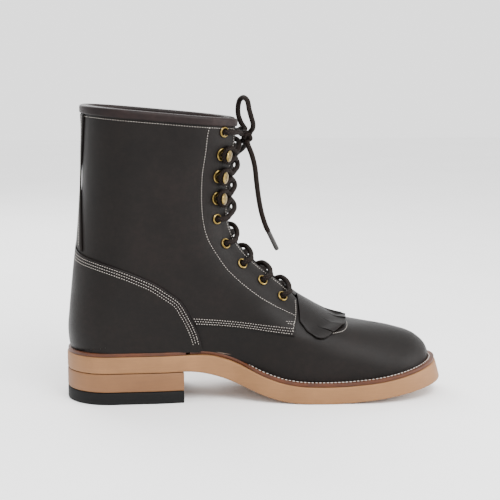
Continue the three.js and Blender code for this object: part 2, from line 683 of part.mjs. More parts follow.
const neckSunk = 0.1; // the neck starts inside the plate, so that they join
const neckShort = 1.6; // and ends this far under the middle of the disc
function hookGeometry() {
  const seat = rimSeat;
  const plate = lathe(
    [
      [hook.bore, vampLayer.inner - clearance], [hook.rivet, vampLayer.inner - clearance], [hook.rivet, seat],
      [hook.ring, seat], [hook.ring, seat + hook.plate], [hook.bore, seat + hook.plate],
      [hook.bore, vampLayer.inner - clearance],
    ],
    latheSides.hook,
  );
  const rise = seat + hook.plate + 2 * laceRadius + hook.headroom;
  const neckHeight = rise - seat - neckShort;
  const neck = new THREE.BoxGeometry(hook.neckThick, neckHeight, hook.neckWidth);
  neck.translate(hook.ring, seat + neckSunk + neckHeight / 2, 0);
  const disc = lathe(
    [[0, -hook.discEdge], [hook.disc, -hook.discEdge], [hook.disc, neckSunk], [0, hook.discCrown]],
    latheSides.hook,
  );
  disc.rotateZ(-THREE.MathUtils.degToRad(hook.tilt)).translate(hook.reach, rise, 0);
  return join([plate, neck, disc]);
}

for (const [side, name] of [[-1, "medial"], [1, "lateral"]]) {
  laceStations.forEach((_, i) => {
    const kind = isHook(i) ? "hook" : "eyelet";
    const shape = isHook(i) ? hookGeometry() : lathe(eyeletProfile, latheSides.eyelet);
    add(`${kind}_${name}_${i + 1}`, shape.applyMatrix4(stationFrame(i, side)), colours.brass);
  });
}

// ---------------------------------------------------------------- laces

// A path whose steps fall on its given points.
class PointPath extends THREE.Curve {
  constructor(points) {
    super();
    this.points = points;
  }

  getPoint(t) {
    const at = t * (this.points.length - 1);
    const i = Math.min(Math.floor(at), this.points.length - 2);
    return this.points[i].clone().lerp(this.points[i + 1], at - i);
  }

  getUtoTmapping(u) {
    return u;
  }
}

function tube(path, radius, steps, sides = 8) {
  const section = new THREE.Shape(
    Array.from({ length: sides }, (_, i) => {
      const turn = (2 * Math.PI * (i + 0.5)) / sides;
      return new THREE.Vector2(radius * Math.cos(turn), radius * Math.sin(turn));
    }),
  );
  return new THREE.ExtrudeGeometry(section, { extrudePath: path, steps });
}

// The knot, and a hand-placed point that keeps its distance from the knot whatever the boot's
// size; what hangs further down than the knot's reach is as long as the shaft allows.
const knotSeat = new THREE.Vector3(150.5, 0, 215.5);
const knotCentre = new THREE.Vector3(knotSeat.x * stretch, knotSeat.y, lift(knotSeat.z));
const knotReach = 12;
function placed(point) {
  const from = new THREE.Vector3(...point).sub(knotSeat);
  from.z += Math.min(0, from.z + knotReach) * liftRate;
  return from.add(knotCentre);
}
const bottomStation = eyelet.count - 1;

// Height of a lace over the vamp's level as it crosses the throat: [distance from the middle, height],
// towards an eyelet (it dives under the far facing) or a hook (it stays on top), as the upper or the
// lower of the two strands that cross.
const strandRise = 2 * laceRadius - 0.2;
const hookRise = 2 * laceRadius + 1.4;
const crossing = {
  eyeletOver: [
    [12.5, laceOver], [8.5, laceOver], [2.5, strandRise], [-2.5, strandRise - 1.4], [-6.5, -2.4], [-10, laceUnder],
    [-12.5, laceUnder],
  ],
  eyeletUnder: [
    [12.5, laceOver], [9.5, laceOver], [6.5, 1.6], [2.5, -1.8], [-2.5, -2.6], [-8.5, laceUnder],
    [-12.5, laceUnder],
  ],
  hookOver: [
    [12.5, laceOver], [8, laceOver + 0.2], [3, hookRise], [-3, hookRise], [-8, laceOver + 0.2], [-12.5, laceOver],
  ],
  hookUnder: [
    [12.5, laceOver], [9.4, laceOver], [5.4, 1.6], [2.5, 0.6], [-2.5, 0.6], [-5.4, 1.6], [-9.4, laceOver],
    [-12.5, laceOver],
  ],
};
const gapChange = throatHalfGap - pattern.throatHalfGap;
const throatMiddle = 7; // crossings nearer the middle than this stay put when the gap changes

// One half of the lace, from the middle of the bottom bar up to the knot. It rises through each
// eyelet from beneath, goes round each hook, and crosses the throat between stations.
function laceHalf(firstSide) {
  const points = [];
  const put = (s, y, out) => points.push(onFace(s, y, out));
  const perMm = (i) => {
    const s = laceStations[i];
    return 0.5 / onFace(s + 0.25, eyelet.rowTop, 0).distanceTo(onFace(s - 0.25, eyelet.rowTop, 0));
  };
  const onHook = rimSeat + hook.plate + laceLift.hook + laceRadius;
  const overEyelet = laceOver + grommet.crown + clearance;
  put(laceStations[bottomStation], firstSide * clearance, laceUnder);
  put(laceStations[bottomStation], firstSide * 4, laceUnder);
  for (let i = bottomStation, side = firstSide; i >= 0; i -= 1, side = -side) {
    const s = laceStations[i];
    const y = rowHalf(i);
    if (isHook(i)) {
      const ds = perMm(i);
      put(s + 5.7 * ds, side * (y - 4.4), laceOver);
      put(s + 3.8 * ds, side * (y - 0.7), onHook);
      put(s, side * (y + 0.2), onHook);
      put(s - 3.8 * ds, side * (y - 0.7), onHook);
      put(s - 5.7 * ds, side * (y - 4.4), laceOver);
    } else {
      put(s, side * (y - 6), laceUnder);
      put(s, side * y, laceUnder);
      put(s, side * y, 0);
      put(s, side * y, overEyelet);
      put(s, side * (y - 5), overEyelet);
    }
    if (i === 0) break;
    const over = (side === firstSide) === firstSide < 0;
    const name = `${isHook(i - 1) ? "hook" : "eyelet"}${over ? "Over" : "Under"}`;
    for (const [share, out] of crossing[name]) {
      const across = share + (Math.abs(share) > throatMiddle ? Math.sign(share) * gapChange : 0);
      const t = (y - 5 - across) / (2 * y - 11);
      put(THREE.MathUtils.lerp(s, laceStations[i - 1], THREE.MathUtils.clamp(t, 0, 1)), side * across, out);
    }
  }
  const side = Math.sign(points[points.length - 1].y);
  points.push(placed([143.6, side * 11.6, 218.6]), placed([145.2, side * 7.4, 217]));
  return new PointPath(points);
}

for (const [side, name] of [[-1, "medial"], [1, "lateral"]]) {
  const path = laceHalf(side);
  add(`lace_from_${name}_side`, tube(path, laceRadius, path.points.length - 1), colours.lace);
}
const knotBody = new THREE.SphereGeometry(1, 10, 8).scale(...knotRadii).translate(...knotCentre.toArray());
add("lace_knot", knotBody, colours.lace);

// Free parts of the lace, as points along their middle line from the knot on.
const freeLaces = {
  bow_loop_upright: [
    [148.3, -0.4, 221.7], [146, -0.6, 225.2], [143.6, -1, 231], [142.4, -2, 238], [142.6, -4.4, 244.4],
    [144.4, -8.4, 247.2], [147, -12.2, 244.6], [150.2, -14, 238.6], [153.4, -12.6, 232.4],
    [155.2, -8.4, 226.6], [154.5, -3.6, 221.6],
  ],
  bow_loop_lateral: [
    [150, 8.6, 220.4], [147.6, 13.4, 220.4], [142, 22, 216.5], [133, 32, 209.5], [125.5, 38.6, 199],
    [121.5, 41, 187.5], [121, 41.5, 176.5], [124.6, 41.5, 168.4], [131, 40.5, 168.4], [135.4, 38.5, 176],
    [137, 35, 187], [139.4, 28.6, 198.6], [144.6, 19.6, 207.6], [150.6, 12.4, 212.4], [153.6, 9.4, 214],
  ],
  lace_end_medial: [
    [149.9, -7, 211.4], [150.8, -8, 207.6], [153.4, -9, 201], [155.9, -10, 191], [157.4, -11, 177.5],
    [159.2, -12, 163.4], [161.6, -12, 151.8], [165, -12, 141.4], [166.9, -12, 137.4],
  ],
  lace_end_lateral: [
    [150.5, 6.8, 209.9], [149, 15, 204.5], [144.6, 28.6, 198.6], [140.4, 39, 191.5], [136.6, 45, 183],
    [133, 46.5, 172], [131, 47.3, 158], [130, 46.7, 143], [129.5, 45.8, 129], [129.4, 45.4, 118],
  ],
};
// Where they hang beside the shaft they stand out as far as the lace under them does.
const besideShaft = { from: 10, to: 30 };
function hung([x, y, z]) {
  const share = THREE.MathUtils.smoothstep(Math.abs(y), besideShaft.from, besideShaft.to);
  return placed([x, y + Math.sign(y) * share * 2 * (laceOver - pattern.laceOver), z]);
}

const toPath = (points) => new THREE.CatmullRomCurve3(points.map(hung));
for (const [name, points] of Object.entries(freeLaces)) {
  const path = toPath(points);
  add(name, tube(path, laceRadius, Math.round(path.getLength() / (2 * laceRadius * 1.6))), colours.lace);
}
for (const name of ["medial", "lateral"]) {
  const path = toPath(freeLaces[`lace_end_${name}`]);
  const along = path.getTangent(1);
  const start = path.getPoint(1).addScaledVector(along, clearance);
  const sleeve = new PointPath([start, start.clone().addScaledVector(along, aglet.length)]);
  add(`aglet_${name}`, tube(sleeve, aglet.radius, 1), colours.brass);
}

// The origin goes to the middle of the footprint, measured without the hanging parts of the lace.
const cordParts = [...Object.keys(freeLaces), "aglet_medial", "aglet_lateral"];
const extent = new THREE.Box3();
for (const mesh of boot.children.filter((m) => !cordParts.includes(m.name))) extent.expandByObject(mesh);
const middle = extent.getCenter(new THREE.Vector3());
boot.position.set(-middle.x, -middle.y, -extent.min.z);

export default boot;
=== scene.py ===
"""Looks of a left lace-up packer boot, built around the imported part.

Tables of shape are in millimetres in the pattern's own frame, where x is 0 at the rear of the heel
and z is 0 on the ground. Meshes are made in metres in the part's frame.
"""

import logging
import math
from dataclasses import dataclass, field
from enum import Enum
from typing import Callable, Iterable, Sequence

import bmesh
import bpy
import numpy as np
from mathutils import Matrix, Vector


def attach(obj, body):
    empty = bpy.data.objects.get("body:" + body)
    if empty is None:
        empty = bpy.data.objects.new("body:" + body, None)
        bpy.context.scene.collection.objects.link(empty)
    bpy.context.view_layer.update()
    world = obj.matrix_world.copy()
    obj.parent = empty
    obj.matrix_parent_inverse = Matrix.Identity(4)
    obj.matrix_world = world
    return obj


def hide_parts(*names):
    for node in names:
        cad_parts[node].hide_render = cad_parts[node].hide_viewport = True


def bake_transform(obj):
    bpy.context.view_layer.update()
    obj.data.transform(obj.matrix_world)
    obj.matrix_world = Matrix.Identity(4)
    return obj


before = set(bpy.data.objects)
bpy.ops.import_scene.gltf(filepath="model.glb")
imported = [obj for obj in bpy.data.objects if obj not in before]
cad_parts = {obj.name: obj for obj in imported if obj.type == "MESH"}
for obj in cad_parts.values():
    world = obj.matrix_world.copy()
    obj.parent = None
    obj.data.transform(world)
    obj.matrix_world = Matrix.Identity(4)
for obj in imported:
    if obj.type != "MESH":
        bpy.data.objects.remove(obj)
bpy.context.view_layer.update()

LOG = logging.getLogger("boot")
MM = 0.001
PATTERN_ORIGIN = np.array([156.9, 1.9, 0.0])
RIM_STATION = 0.02
SEED = 11

Array = np.ndarray
Curve1D = Callable[[Array], Array]


class Side(Enum):
    """Side of the boot: the sign of y."""

    MEDIAL = -1
    LATERAL = 1

    @property
    def word(self) -> str:
        """Name of the side as used in node names."""
        return self.name.lower()


class Body(Enum):
    """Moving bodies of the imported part."""

    BOOT = "boot"
    KILTIE = "kiltie"


# ---------------------------------------------------------------------------- shape of the last


def monotone(pairs: Sequence[tuple[float, float]]) -> Curve1D:
    """Monotone cubic through points.

    Args:
        pairs: Position and value of each point, in order.

    Returns:
        A function of an array of positions.
    """
    xs, ys = (np.array(v, float) for v in zip(*pairs))
    step = np.diff(xs)
    rise = np.diff(ys) / step
    slope = np.zeros(len(xs))
    slope[0], slope[-1] = rise[0], rise[-1]
    for i in range(1, len(xs) - 1):
        if rise[i - 1] * rise[i] > 0:
            a, b = 2 * step[i] + step[i - 1], step[i] + 2 * step[i - 1]
            slope[i] = (a + b) / (a / rise[i - 1] + b / rise[i])

    def value(x: Array) -> Array:
        """Value of the curve at x."""
        at = np.clip(np.asarray(x, float), xs[0], xs[-1])
        i = np.clip(np.searchsorted(xs, at, side="right") - 1, 0, len(xs) - 2)
        t = (at - xs[i]) / step[i]
        return (
            (1 + 2 * t) * (1 - t) ** 2 * ys[i]
            + t * (1 - t) ** 2 * step[i] * slope[i]
            + t * t * (3 - 2 * t) * ys[i + 1]
            + t * t * (t - 1) * step[i] * slope[i + 1]
        )

    return value


def dome(t: Array) -> Array:
    """Quarter of an ellipse: 0 at 0 and 1 from 1 on."""
    return np.sqrt(np.maximum(0.0, 1 - (1 - np.clip(t, 0, 1)) ** 2))


def smoothstep(x: Array, low: float, high: float) -> Array:
    """Smooth ramp from 0 at low to 1 at high."""
    t = np.clip((np.asarray(x, float) - low) / (high - low), 0, 1)
    return t * t * (3 - 2 * t)


def unit(v: Array) -> Array:
    """Vectors scaled to length one."""
    return v / np.maximum(np.linalg.norm(v, axis=-1, keepdims=True), 1e-12)


SOLE_TOP = monotone([(0, 39.5), (100, 39.5), (115, 38.6), (130, 35.2), (140, 31.4), (150, 26.8),
                     (160, 22.2), (170, 18.6),
    (180, 16), (195, 14.3), (210, 14), (225, 14.3), (240, 15.5), (255, 17.3), (270, 19.7), (285, 22.7),
    (300, 26.2), (312, 29)])
SOLE_BOTTOM = monotone([(0, 25.8), (97, 25.8), (108, 24.6), (116, 22.8), (130, 18.6), (140, 14.6),
                        (150, 10.2), (160, 6.2),
    (170, 3.2), (180, 1.2), (190, 0.3), (200, 0), (215, 0), (230, 0.7), (245, 2.2), (260, 4.2),
    (275, 6.6), (290, 9.4),
    (305, 12), (314, 13.6)])
INNER_HALF = monotone([(0, 30), (45, 30), (75, 30), (100, 28.5), (120, 27), (135, 28.5), (150, 32),
                       (175, 39), (200, 43.5),
    (222, 44.5), (245, 44.5), (303, 44.5)])
OUTER_HALF = monotone([(0, 30), (45, 30), (75, 31.5), (100, 33), (120, 35.5), (150, 42), (175, 47),
                       (195, 50), (215, 50),
    (240, 48), (260, 46), (303, 46)])
CENTRE_SHIFT = monotone([(0, 0), (215, 0), (260, -3), (303, -7)])
SOLE_MARGIN = monotone([(0, 5.7), (75, 5.7), (97, 5), (115, 3.8), (135, 4), (160, 6), (200, 6.2),
                        (245, 6), (303, 5.5)])


@dataclass(frozen=True)
class Last:
    """The foot and leg form that every leather follows, by station s and share g round the section."""

    length: float = 303.4
    toe_radius: float = 60.0
    feather_rise: float = 2.55
    heel_station: int = 10
    toe_station: int = 24
    shaft: tuple = ((18.2, 240, 141, 228.5), (18.8, 222, 140.3, 212), (18.2, 201, 137.3, 193.5),
                    (17.4, 178, 134.6, 174),
        (15.4, 152, 134.3, 152), (13.4, 131, 138.5, 135), (11, 112, 146.5, 122), (8.8, 92, 157, 111),
        (6.9, 74, 168, 102),
        (5.6, 58, 178.5, 93.5))
    foot: tuple = ((8.2, 189.5, 83.5), (40, 203, 75), (75, 216, 67.8), (105, 228, 61.8),
                   (135, 240, 59.7), (165, 251, 58.2),
        (195, 261, 56.7), (222, 270, 55.1), (245, 277.5, 53.2), (263, 284, 51.4), (278, 290, 48.8),
        (288, 295, 45.2),
        (296, 299.3, 41), (301, 302, 35.8), (303, 303.2, 32.7))
    leg_half: Curve1D = monotone([(0, 33), (60, 33), (115, 32.5), (150, 32.5), (240, 33)])
    ridge_depth: Curve1D = monotone([(0, 44), (6, 48), (10, 50), (13, 52), (17, 46), (20, 28), (24, 6)])
    back_depth: Curve1D = monotone([(42, 32), (70, 34), (110, 40), (240, 42)])

    def feather(self, x: Array) -> Array:
        """Height of the edge where the leather turns under, over x."""
        return SOLE_TOP(x) + self.feather_rise

    def columns(self) -> tuple[Curve1D, Curve1D, Curve1D, Curve1D]:
        """Curves over s of the back x, back z, front x and front z of a station."""
        rows = [*self.shaft, *((b, float(self.feather(b)), x, z) for b, x, z in self.foot)]
        return tuple(monotone(list(enumerate(c))) for c in zip(*rows))

    def ends(self, s: Array) -> tuple[Array, Array, Array, Array]:
        """Back x, back z, front x and front z of stations s."""
        bx, bz, fx, fz = (c(s) for c in COLUMNS)
        return bx, np.where(s >= self.heel_station, self.feather(bx), bz), fx, fz

    def point(self, s: Array, g: Array) -> Array:
        """Points of the last.

        Args:
            s: Stations, from 0 at the rim to 24 at the toe.
            g: Share round the section, 0 on the front line and -1 or 1 at the back line or feather edge.

        Returns:
            Points in millimetres in the pattern's frame.
        """
        s, g = np.broadcast_arrays(np.asarray(s, float), np.asarray(g, float))
        h = (1 + np.cos(np.pi * np.abs(g))) / 2
        bx, bz, fx, fz = self.ends(s)
        x, z = bx + (fx - bx) * h, bz + (fz - bz) * h
        foot = np.where(g < 0, INNER_HALF(x), OUTER_HALF(x))
        leg = smoothstep(z, 25, 105)
        width = foot * (1 - leg) + self.leg_half(z) * leg
        from_back = x - COLUMNS[0](np.minimum(s, self.heel_station))
        half = (
            width
            * dome(from_back / self.back_depth(z))
            * dome((1 - h) * np.hypot(fx - bx, fz - bz) / self.ridge_depth(s))
            * dome((self.length - x) / self.toe_radius)
        )
        return np.stack([x, np.where(g < 0, -half, half) + CENTRE_SHIFT(x), z], -1)

    def normal(self, s: Array, g: Array) -> Array:
        """Outward unit normals at stations s and shares g.

        Args:
            s: Stations along the last.
            g: Shares round the section.

        Returns:
            Unit vectors that point out of the last.
        """
        s, g = np.broadcast_arrays(np.asarray(s, float), np.asarray(g, float))
        e = 1e-3
        back = s <= self.heel_station
        s0 = np.maximum(np.where(back, 0, self.heel_station), s - 8 * e)
        s1 = np.minimum(np.where(back, self.heel_station, self.toe_station), s + 8 * e)
        g0, g1 = np.maximum(-1, g - e), np.minimum(1, g + e)
        n = unit(np.cross(self.point(s1, g) - self.point(s0, g), self.point(s, g1) - self.point(s, g0)))
        seam = back & (np.abs(g) > 0.9995)
        n[seam, 1] = 0
        return unit(n)

    def offset(self, s: Array, g: Array, out: Array | float) -> Array:
        """Points at a distance outward from the last."""
        return self.point(s, g) + self.normal(s, g) * np.asarray(out, float)[..., None]

    def side_at(self, s: Array, y: Array | float) -> Array:
        """Shares g of the points of stations s that stand y to one side of the middle line.

        Args:
            s: Stations along the last.
            y: Distances from the middle line, in millimetres.

        Returns:
            Shares round the section.
        """
        s, y = np.broadcast_arrays(np.asarray(s, float), np.asarray(y, float))
        near, far = np.zeros(s.shape), np.full(s.shape, 0.5)
        sign = np.where(y < 0, -1.0, 1.0)
        for _ in range(40):
            mid = (near + far) / 2
            p = self.point(s, sign * mid)
            short = np.abs(p[..., 1] - CENTRE_SHIFT(p[..., 0])) < np.abs(y)
            near, far = np.where(short, mid, near), np.where(short, far, mid)
        return np.where(y == 0, 0, sign * (near + far) / 2)

    def seat(self, outline: Array) -> Array:
        """Station and unsigned share of side-view points (x, z).

        Args:
            outline: Points of the side view, as x and z.

        Returns:
            Station and share of each point.
        """
        x, z = outline[..., 0], outline[..., 1]
        near, far = np.zeros(x.shape), np.full(x.shape, float(self.toe_station))
        for _ in range(50):
            s = (near + far) / 2
            bx, bz, fx, fz = self.ends(s)
            before = (fx - bx) * (z - bz) - (fz - bz) * (x - bx) < 0
            near, far = np.where(before, s, near), np.where(before, far, s)
        s = (near + far) / 2
        bx, bz, fx, fz = self.ends(s)
        h = ((x - bx) * (fx - bx) + (z - bz) * (fz - bz)) / ((fx - bx) ** 2 + (fz - bz) ** 2)
        return np.stack([s, np.arccos(np.clip(2 * h - 1, -1, 1)) / np.pi], -1)


COLUMNS = Last.columns(Last())
LAST = Last()


@dataclass(frozen=True)
class Layer:
    """A leather's place as distances outward from the last."""

    inner: float
    outer: float


VAMP = Layer(-1.7, 0.0)
QUARTER = Layer(0.3, 1.9)
FOXING = Layer(2.2, 3.8)
BACKSTAY = Layer(2.2, 3.6)
TONGUE = Layer(-9.2, -7.6)

FOXING_TOP = [(6, 127.3), (8, 126.8), (15, 121.7), (19, 119.9), (30, 116.8), (44.5, 112),
              (58.5, 106.3), (73.5, 99.3),
    (82.7, 93), (93, 85.3), (99.4, 75), (104.2, 65.4)]
FOXING_FRONT = [(104.2, 65.4), (107.2, 58), (110, 48), (111.4, 42)]
FACING_SEAM = [(117.1, 224.5), (115.7, 218.2), (113.8, 203.1), (111.4, 188.2), (110.5, 174.2),
               (110.9, 155.8),
    (112.6, 143.4), (116.2, 132.1), (122.3, 121.5), (131.9, 107.9), (151.2, 90.4), (168.9, 78.3),
    (186.4, 69.3)]
QUARTER_FRONT = [(190.0, 80.4), (189.5, 75), (188.3, 69), (186.9, 61.5), (185.5, 54.5)]
QUARTER_BOTTOM = [(185.5, 54.5), (165, 57.9), (147, 60.8), (128, 62.8), (110.5, 64.2), (96, 66),
                  (78, 76), (50, 92), (5, 104)]

# -------------------------------------------------------------------------------------- mesh helpers


def smooth_line(points: Sequence[Sequence[float]], per: int = 8, closed: bool = False) -> Array:
    """Centripetal Catmull-Rom line through points, with per steps in each span.

    Args:
        points: Points the curve passes through.
        per: Steps between two points.
        closed: Whether it runs back to its start.

    Returns:
        Points along the curve.
    """
    p = np.array(points, float)
    ends = (p[-1], p[0], p[1]) if closed else (2 * p[0] - p[1], 2 * p[-1] - p[-2], None)
    full = np.vstack([ends[0], p, ends[1]] + ([ends[2]] if closed else []))
    out = []
    for a, b, c, d in zip(full, full[1:], full[2:], full[3:]):
        t1 = max(np.linalg.norm(b - a), 1e-6) ** 0.5
        t2 = t1 + max(np.linalg.norm(c - b), 1e-6) ** 0.5
        t3 = t2 + max(np.linalg.norm(d - c), 1e-6) ** 0.5
        for k in range(per):
            t = t1 + (t2 - t1) * k / per
            ab, bc, cd = a + (b - a) * t / t1, b + (c - b) * (t - t1) / (t2 - t1), c + (d - c) * (t
                    - t2) / (t3 - t2)
            abc, bcd = ab + (bc - ab) * t / t2, bc + (cd - bc) * (t - t1) / (t3 - t1)
            out.append(abc + (bcd - abc) * (t - t1) / (t2 - t1))
    return np.array(out if closed else [*out, p[-1]])


def run_along(line: Array) -> Array:
    """Distance of each point of a line from its start."""
    return np.concatenate([[0.0], np.cumsum(np.linalg.norm(np.diff(line, axis=0), axis=1))])


def resample(line: Array, shares: Array) -> Array:
    """Points of a line at shares of its length."""
    run = run_along(line)
    return np.stack([np.interp(np.asarray(shares) * run[-1], run, line[:, k])
                     for k in range(line.shape[1])], -1)


def edge_shares(n: int, length: float) -> Array:
    """Shares along a length with two close steps at each end, which carry a rounded edge."""
    close = np.array([0.0, 0.28, 0.8]) / length
    return np.concatenate([close, np.linspace(close[-1], 1 - close[-1], n)[1:-1], 1 - close[::-1]])


def coons(low: Array, high: Array, left: Array, right: Array, u: Array, v: Array) -> Array:
    """Patch between four edges: low and high run along u, left and right along v from low to high.

    Args:
        low, high: Edges along u.
        left, right: Edges along v.
        u, v: Shares along the two directions.

    Returns:
        Points as a grid, u by v.
    """
    u, v = u[:, None, None], v[None, :, None]
    corners = (1 - u) * (1 - v) * low[0] + u * (1 - v) * low[-1] + (1
            - u) * v * high[0] + u * v * high[-1]
    return (1 - v) * low[:, None] + v * high[:, None] + (1 - u) * left[None] + u * right[None] - corners


def mesh_object(name: str, points: Array, faces: Sequence[Sequence[int]],
                sharp: float = 40.0) -> bpy.types.Object:
    """Smooth-shaded object from points in the pattern's frame.

    Args:
        name: Object name.
        points: Points in millimetres.
        faces: Corner indices of each face.
        sharp: Angle in degrees past which an edge stays sharp.

    Returns:
        The linked object, in metres in the part's frame.
    """
    mesh = bpy.data.meshes.new(name)
    mesh.from_pydata(((np.asarray(points) - PATTERN_ORIGIN) * MM).tolist(), [],
                     [list(map(int, f)) for f in faces])
    mesh.validate()
    mesh.shade_smooth()
    mesh.set_sharp_from_angle(angle=math.radians(sharp))
    made = bpy.data.objects.new(name, mesh)
    bpy.context.scene.collection.objects.link(made)
    return made


def outward(points: Array, faces: list[tuple[int, ...]]) -> list[tuple[int, ...]]:
    """The faces of a closed shape, turned to point out.

    Args:
        points: Points of the shape.
        faces: Its faces, all turned the same way.

    Returns:
        The faces, reversed where they pointed in.
    """
    volume = 0.0
    for f in faces:
        for k in range(1, len(f) - 1):
            volume += float(np.dot(points[f[0]], np.cross(points[f[k]], points[f[k + 1]])))
    return faces if volume > 0 else [tuple(reversed(f)) for f in faces]


def thick_sheet(outer: Array, inner: Array, keep: Array | None = None) -> tuple[Array,
        list[tuple[int, ...]]]:
    """Closed solid between two grids of the same size.

    Args:
        outer: Outer points, as rows by columns by 3.
        inner: Inner points, the same size.
        keep: Which cells exist, all of them where it is None.

    Returns:
        Points and faces.
    """
    rows, cols = outer.shape[:2]
    n = rows * cols
    points = np.vstack([outer.reshape(-1, 3), inner.reshape(-1, 3)])
    index = np.arange(n).reshape(rows, cols)
    quads = np.stack([index[:-1, :-1], index[1:, :-1], index[1:, 1:], index[:-1, 1:]], -1)
    quads = quads[keep] if keep is not None else quads.reshape(-1, 4)
    edges = {(int(a), int(b)) for q in quads for a, b in zip(q, np.roll(q, -1))}
    walls = [(b, a, a + n, b + n) for a, b in edges if (b, a) not in edges]
    faces = [tuple(map(int, q)) for q in quads] + [tuple(int(i) + n for i in reversed(q))
                                                   for q in quads] + walls
    return compact(points, outward(points, faces))


def compact(points: Array, faces: list[tuple[int, ...]]) -> tuple[Array, list[tuple[int, ...]]]:
    """Drops the points that no face uses.

    Args:
        points: Points, some of them unused.
        faces: Faces on those points.

    Returns:
        Used points, and faces on their new numbers.
    """
    used = sorted({i for f in faces for i in f})
    place = {old: new for new, old in enumerate(used)}
    return points[used], [tuple(place[i] for i in f) for f in faces]


def weld(obj: bpy.types.Object, distance: float = 0.00002) -> None:
    """Merges the doubles of a mesh object where two patches meet.

    Args:
        obj: Mesh object to change.
        distance: How close doubles lie, in metres.
    """
    work = bmesh.new()
    work.from_mesh(obj.data)
    bmesh.ops.remove_doubles(work, verts=work.verts, dist=distance)
    bmesh.ops.dissolve_degenerate(work, edges=work.edges, dist=distance / 4)
    bmesh.ops.recalc_face_normals(work, faces=work.faces)
    work.to_mesh(obj.data)
    work.free()
    obj.data.shade_smooth()
    obj.data.set_sharp_from_angle(angle=math.radians(40))


def tube(line: Array, radius: Array | float, sides: int = 14) -> tuple[Array, list[tuple[int, ...]],
        Array]:
    """Closed round tube along a line.

    Args:
        line: Centre points.
        radius: One radius, or one at each point.
        sides: Corners of the section.

    Returns:
        Points, faces, and at each point its distance along the line and share round it.
    """
    along = unit(np.gradient(line, axis=0))
    across = np.zeros_like(line)
    first = np.cross(along[0], [0.0, 0.0, 1.0])
    across[0] = unit(first if np.linalg.norm(first) > 1e-3 else np.array([1.0, 0.0, 0.0]))
    for i in range(1, len(line)):
        v = across[i - 1] - along[i] * np.dot(across[i - 1], along[i])
        across[i] = unit(v)
    turn = np.linspace(0, 2 * np.pi, sides, endpoint=False)
    r = np.broadcast_to(np.asarray(radius, float), (len(line),))
    ring = across[:, None] * np.cos(turn)[None, :, None] + np.cross(along, across)[:,
            None] * np.sin(turn)[None, :, None]
    points = (line[:, None] + ring * r[:, None, None]).reshape(-1, 3)
    faces = []
    for i in range(len(line) - 1):
        for k in range(sides):
            j = (k + 1) % sides
            faces.append((i * sides + k, i * sides + j, (i + 1) * sides + j, (i + 1) * sides + k))
    faces.append(tuple(reversed(range(sides))))
    faces.append(tuple(range((len(line) - 1) * sides, len(line) * sides)))
    run = run_along(line)
    coords = np.stack([np.repeat(run, sides), np.tile(turn / (2 * np.pi), len(line))], -1)
    return points, outward(points, faces), coords


def lathe(profile: Sequence[tuple[float, float]], sides: int = 36) -> tuple[Array,
        list[tuple[int, ...]]]:
    """Solid turned about the second axis from a closed profile of (radius, height).

    Args:
        profile: Radius and height of each point of the closed outline.
        sides: Sides of the round.

    Returns:
        Points and faces.
    """
    turn = np.linspace(0, 2 * np.pi, sides, endpoint=False)
    p = np.array(profile, float)
    points = np.stack([p[:, None, 0] * np.cos(turn), np.broadcast_to(p[:, None, 1], (len(p), sides)),
        p[:, None, 0] * np.sin(turn)], -1).reshape(-1, 3)
    faces = []
    for i in range(len(p)):
        j = (i + 1) % len(p)
        for k in range(sides):
            m = (k + 1) % sides
            faces.append((i * sides + k, i * sides + m, j * sides + m, j * sides + k))
    return points, outward(points, faces)


def joined(parts: Iterable[tuple[Array, list[tuple[int, ...]]]]) -> tuple[Array, list[tuple[int, ...]]]:
    """Several point and face lists as one.

    Args:
        parts: Points and faces of each part.

    Returns:
        Points and faces.
    """
    points, faces, base = [], [], 0
    for p, f in parts:
        points.append(p)
        faces += [tuple(i + base for i in face) for face in f]
        base += len(p)
    return np.vstack(points), faces


def settle(obj: bpy.types.Object, body: Body, slot: str, material: bpy.types.Material,
           *nodes: str) -> bpy.types.Object:
    """Dresses a finished piece, rides it on its body and hides the CAD nodes that it stands for.

    Args:
        obj: Finished mesh object.
        body: Body that it moves with.
        slot: Not used.
        material: Finish to give it.
        nodes: CAD nodes that it stands for.

    Returns:
        The same object.
    """
    obj.data.materials.clear()
    obj.data.materials.append(material)
    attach(obj, body.value)
    if nodes:
        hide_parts(*nodes)
    LOG.info("%s: %d faces on %s", obj.name, len(obj.data.polygons), body.value)
    return obj


# -------------------------------------------------------------------------------------- finishes


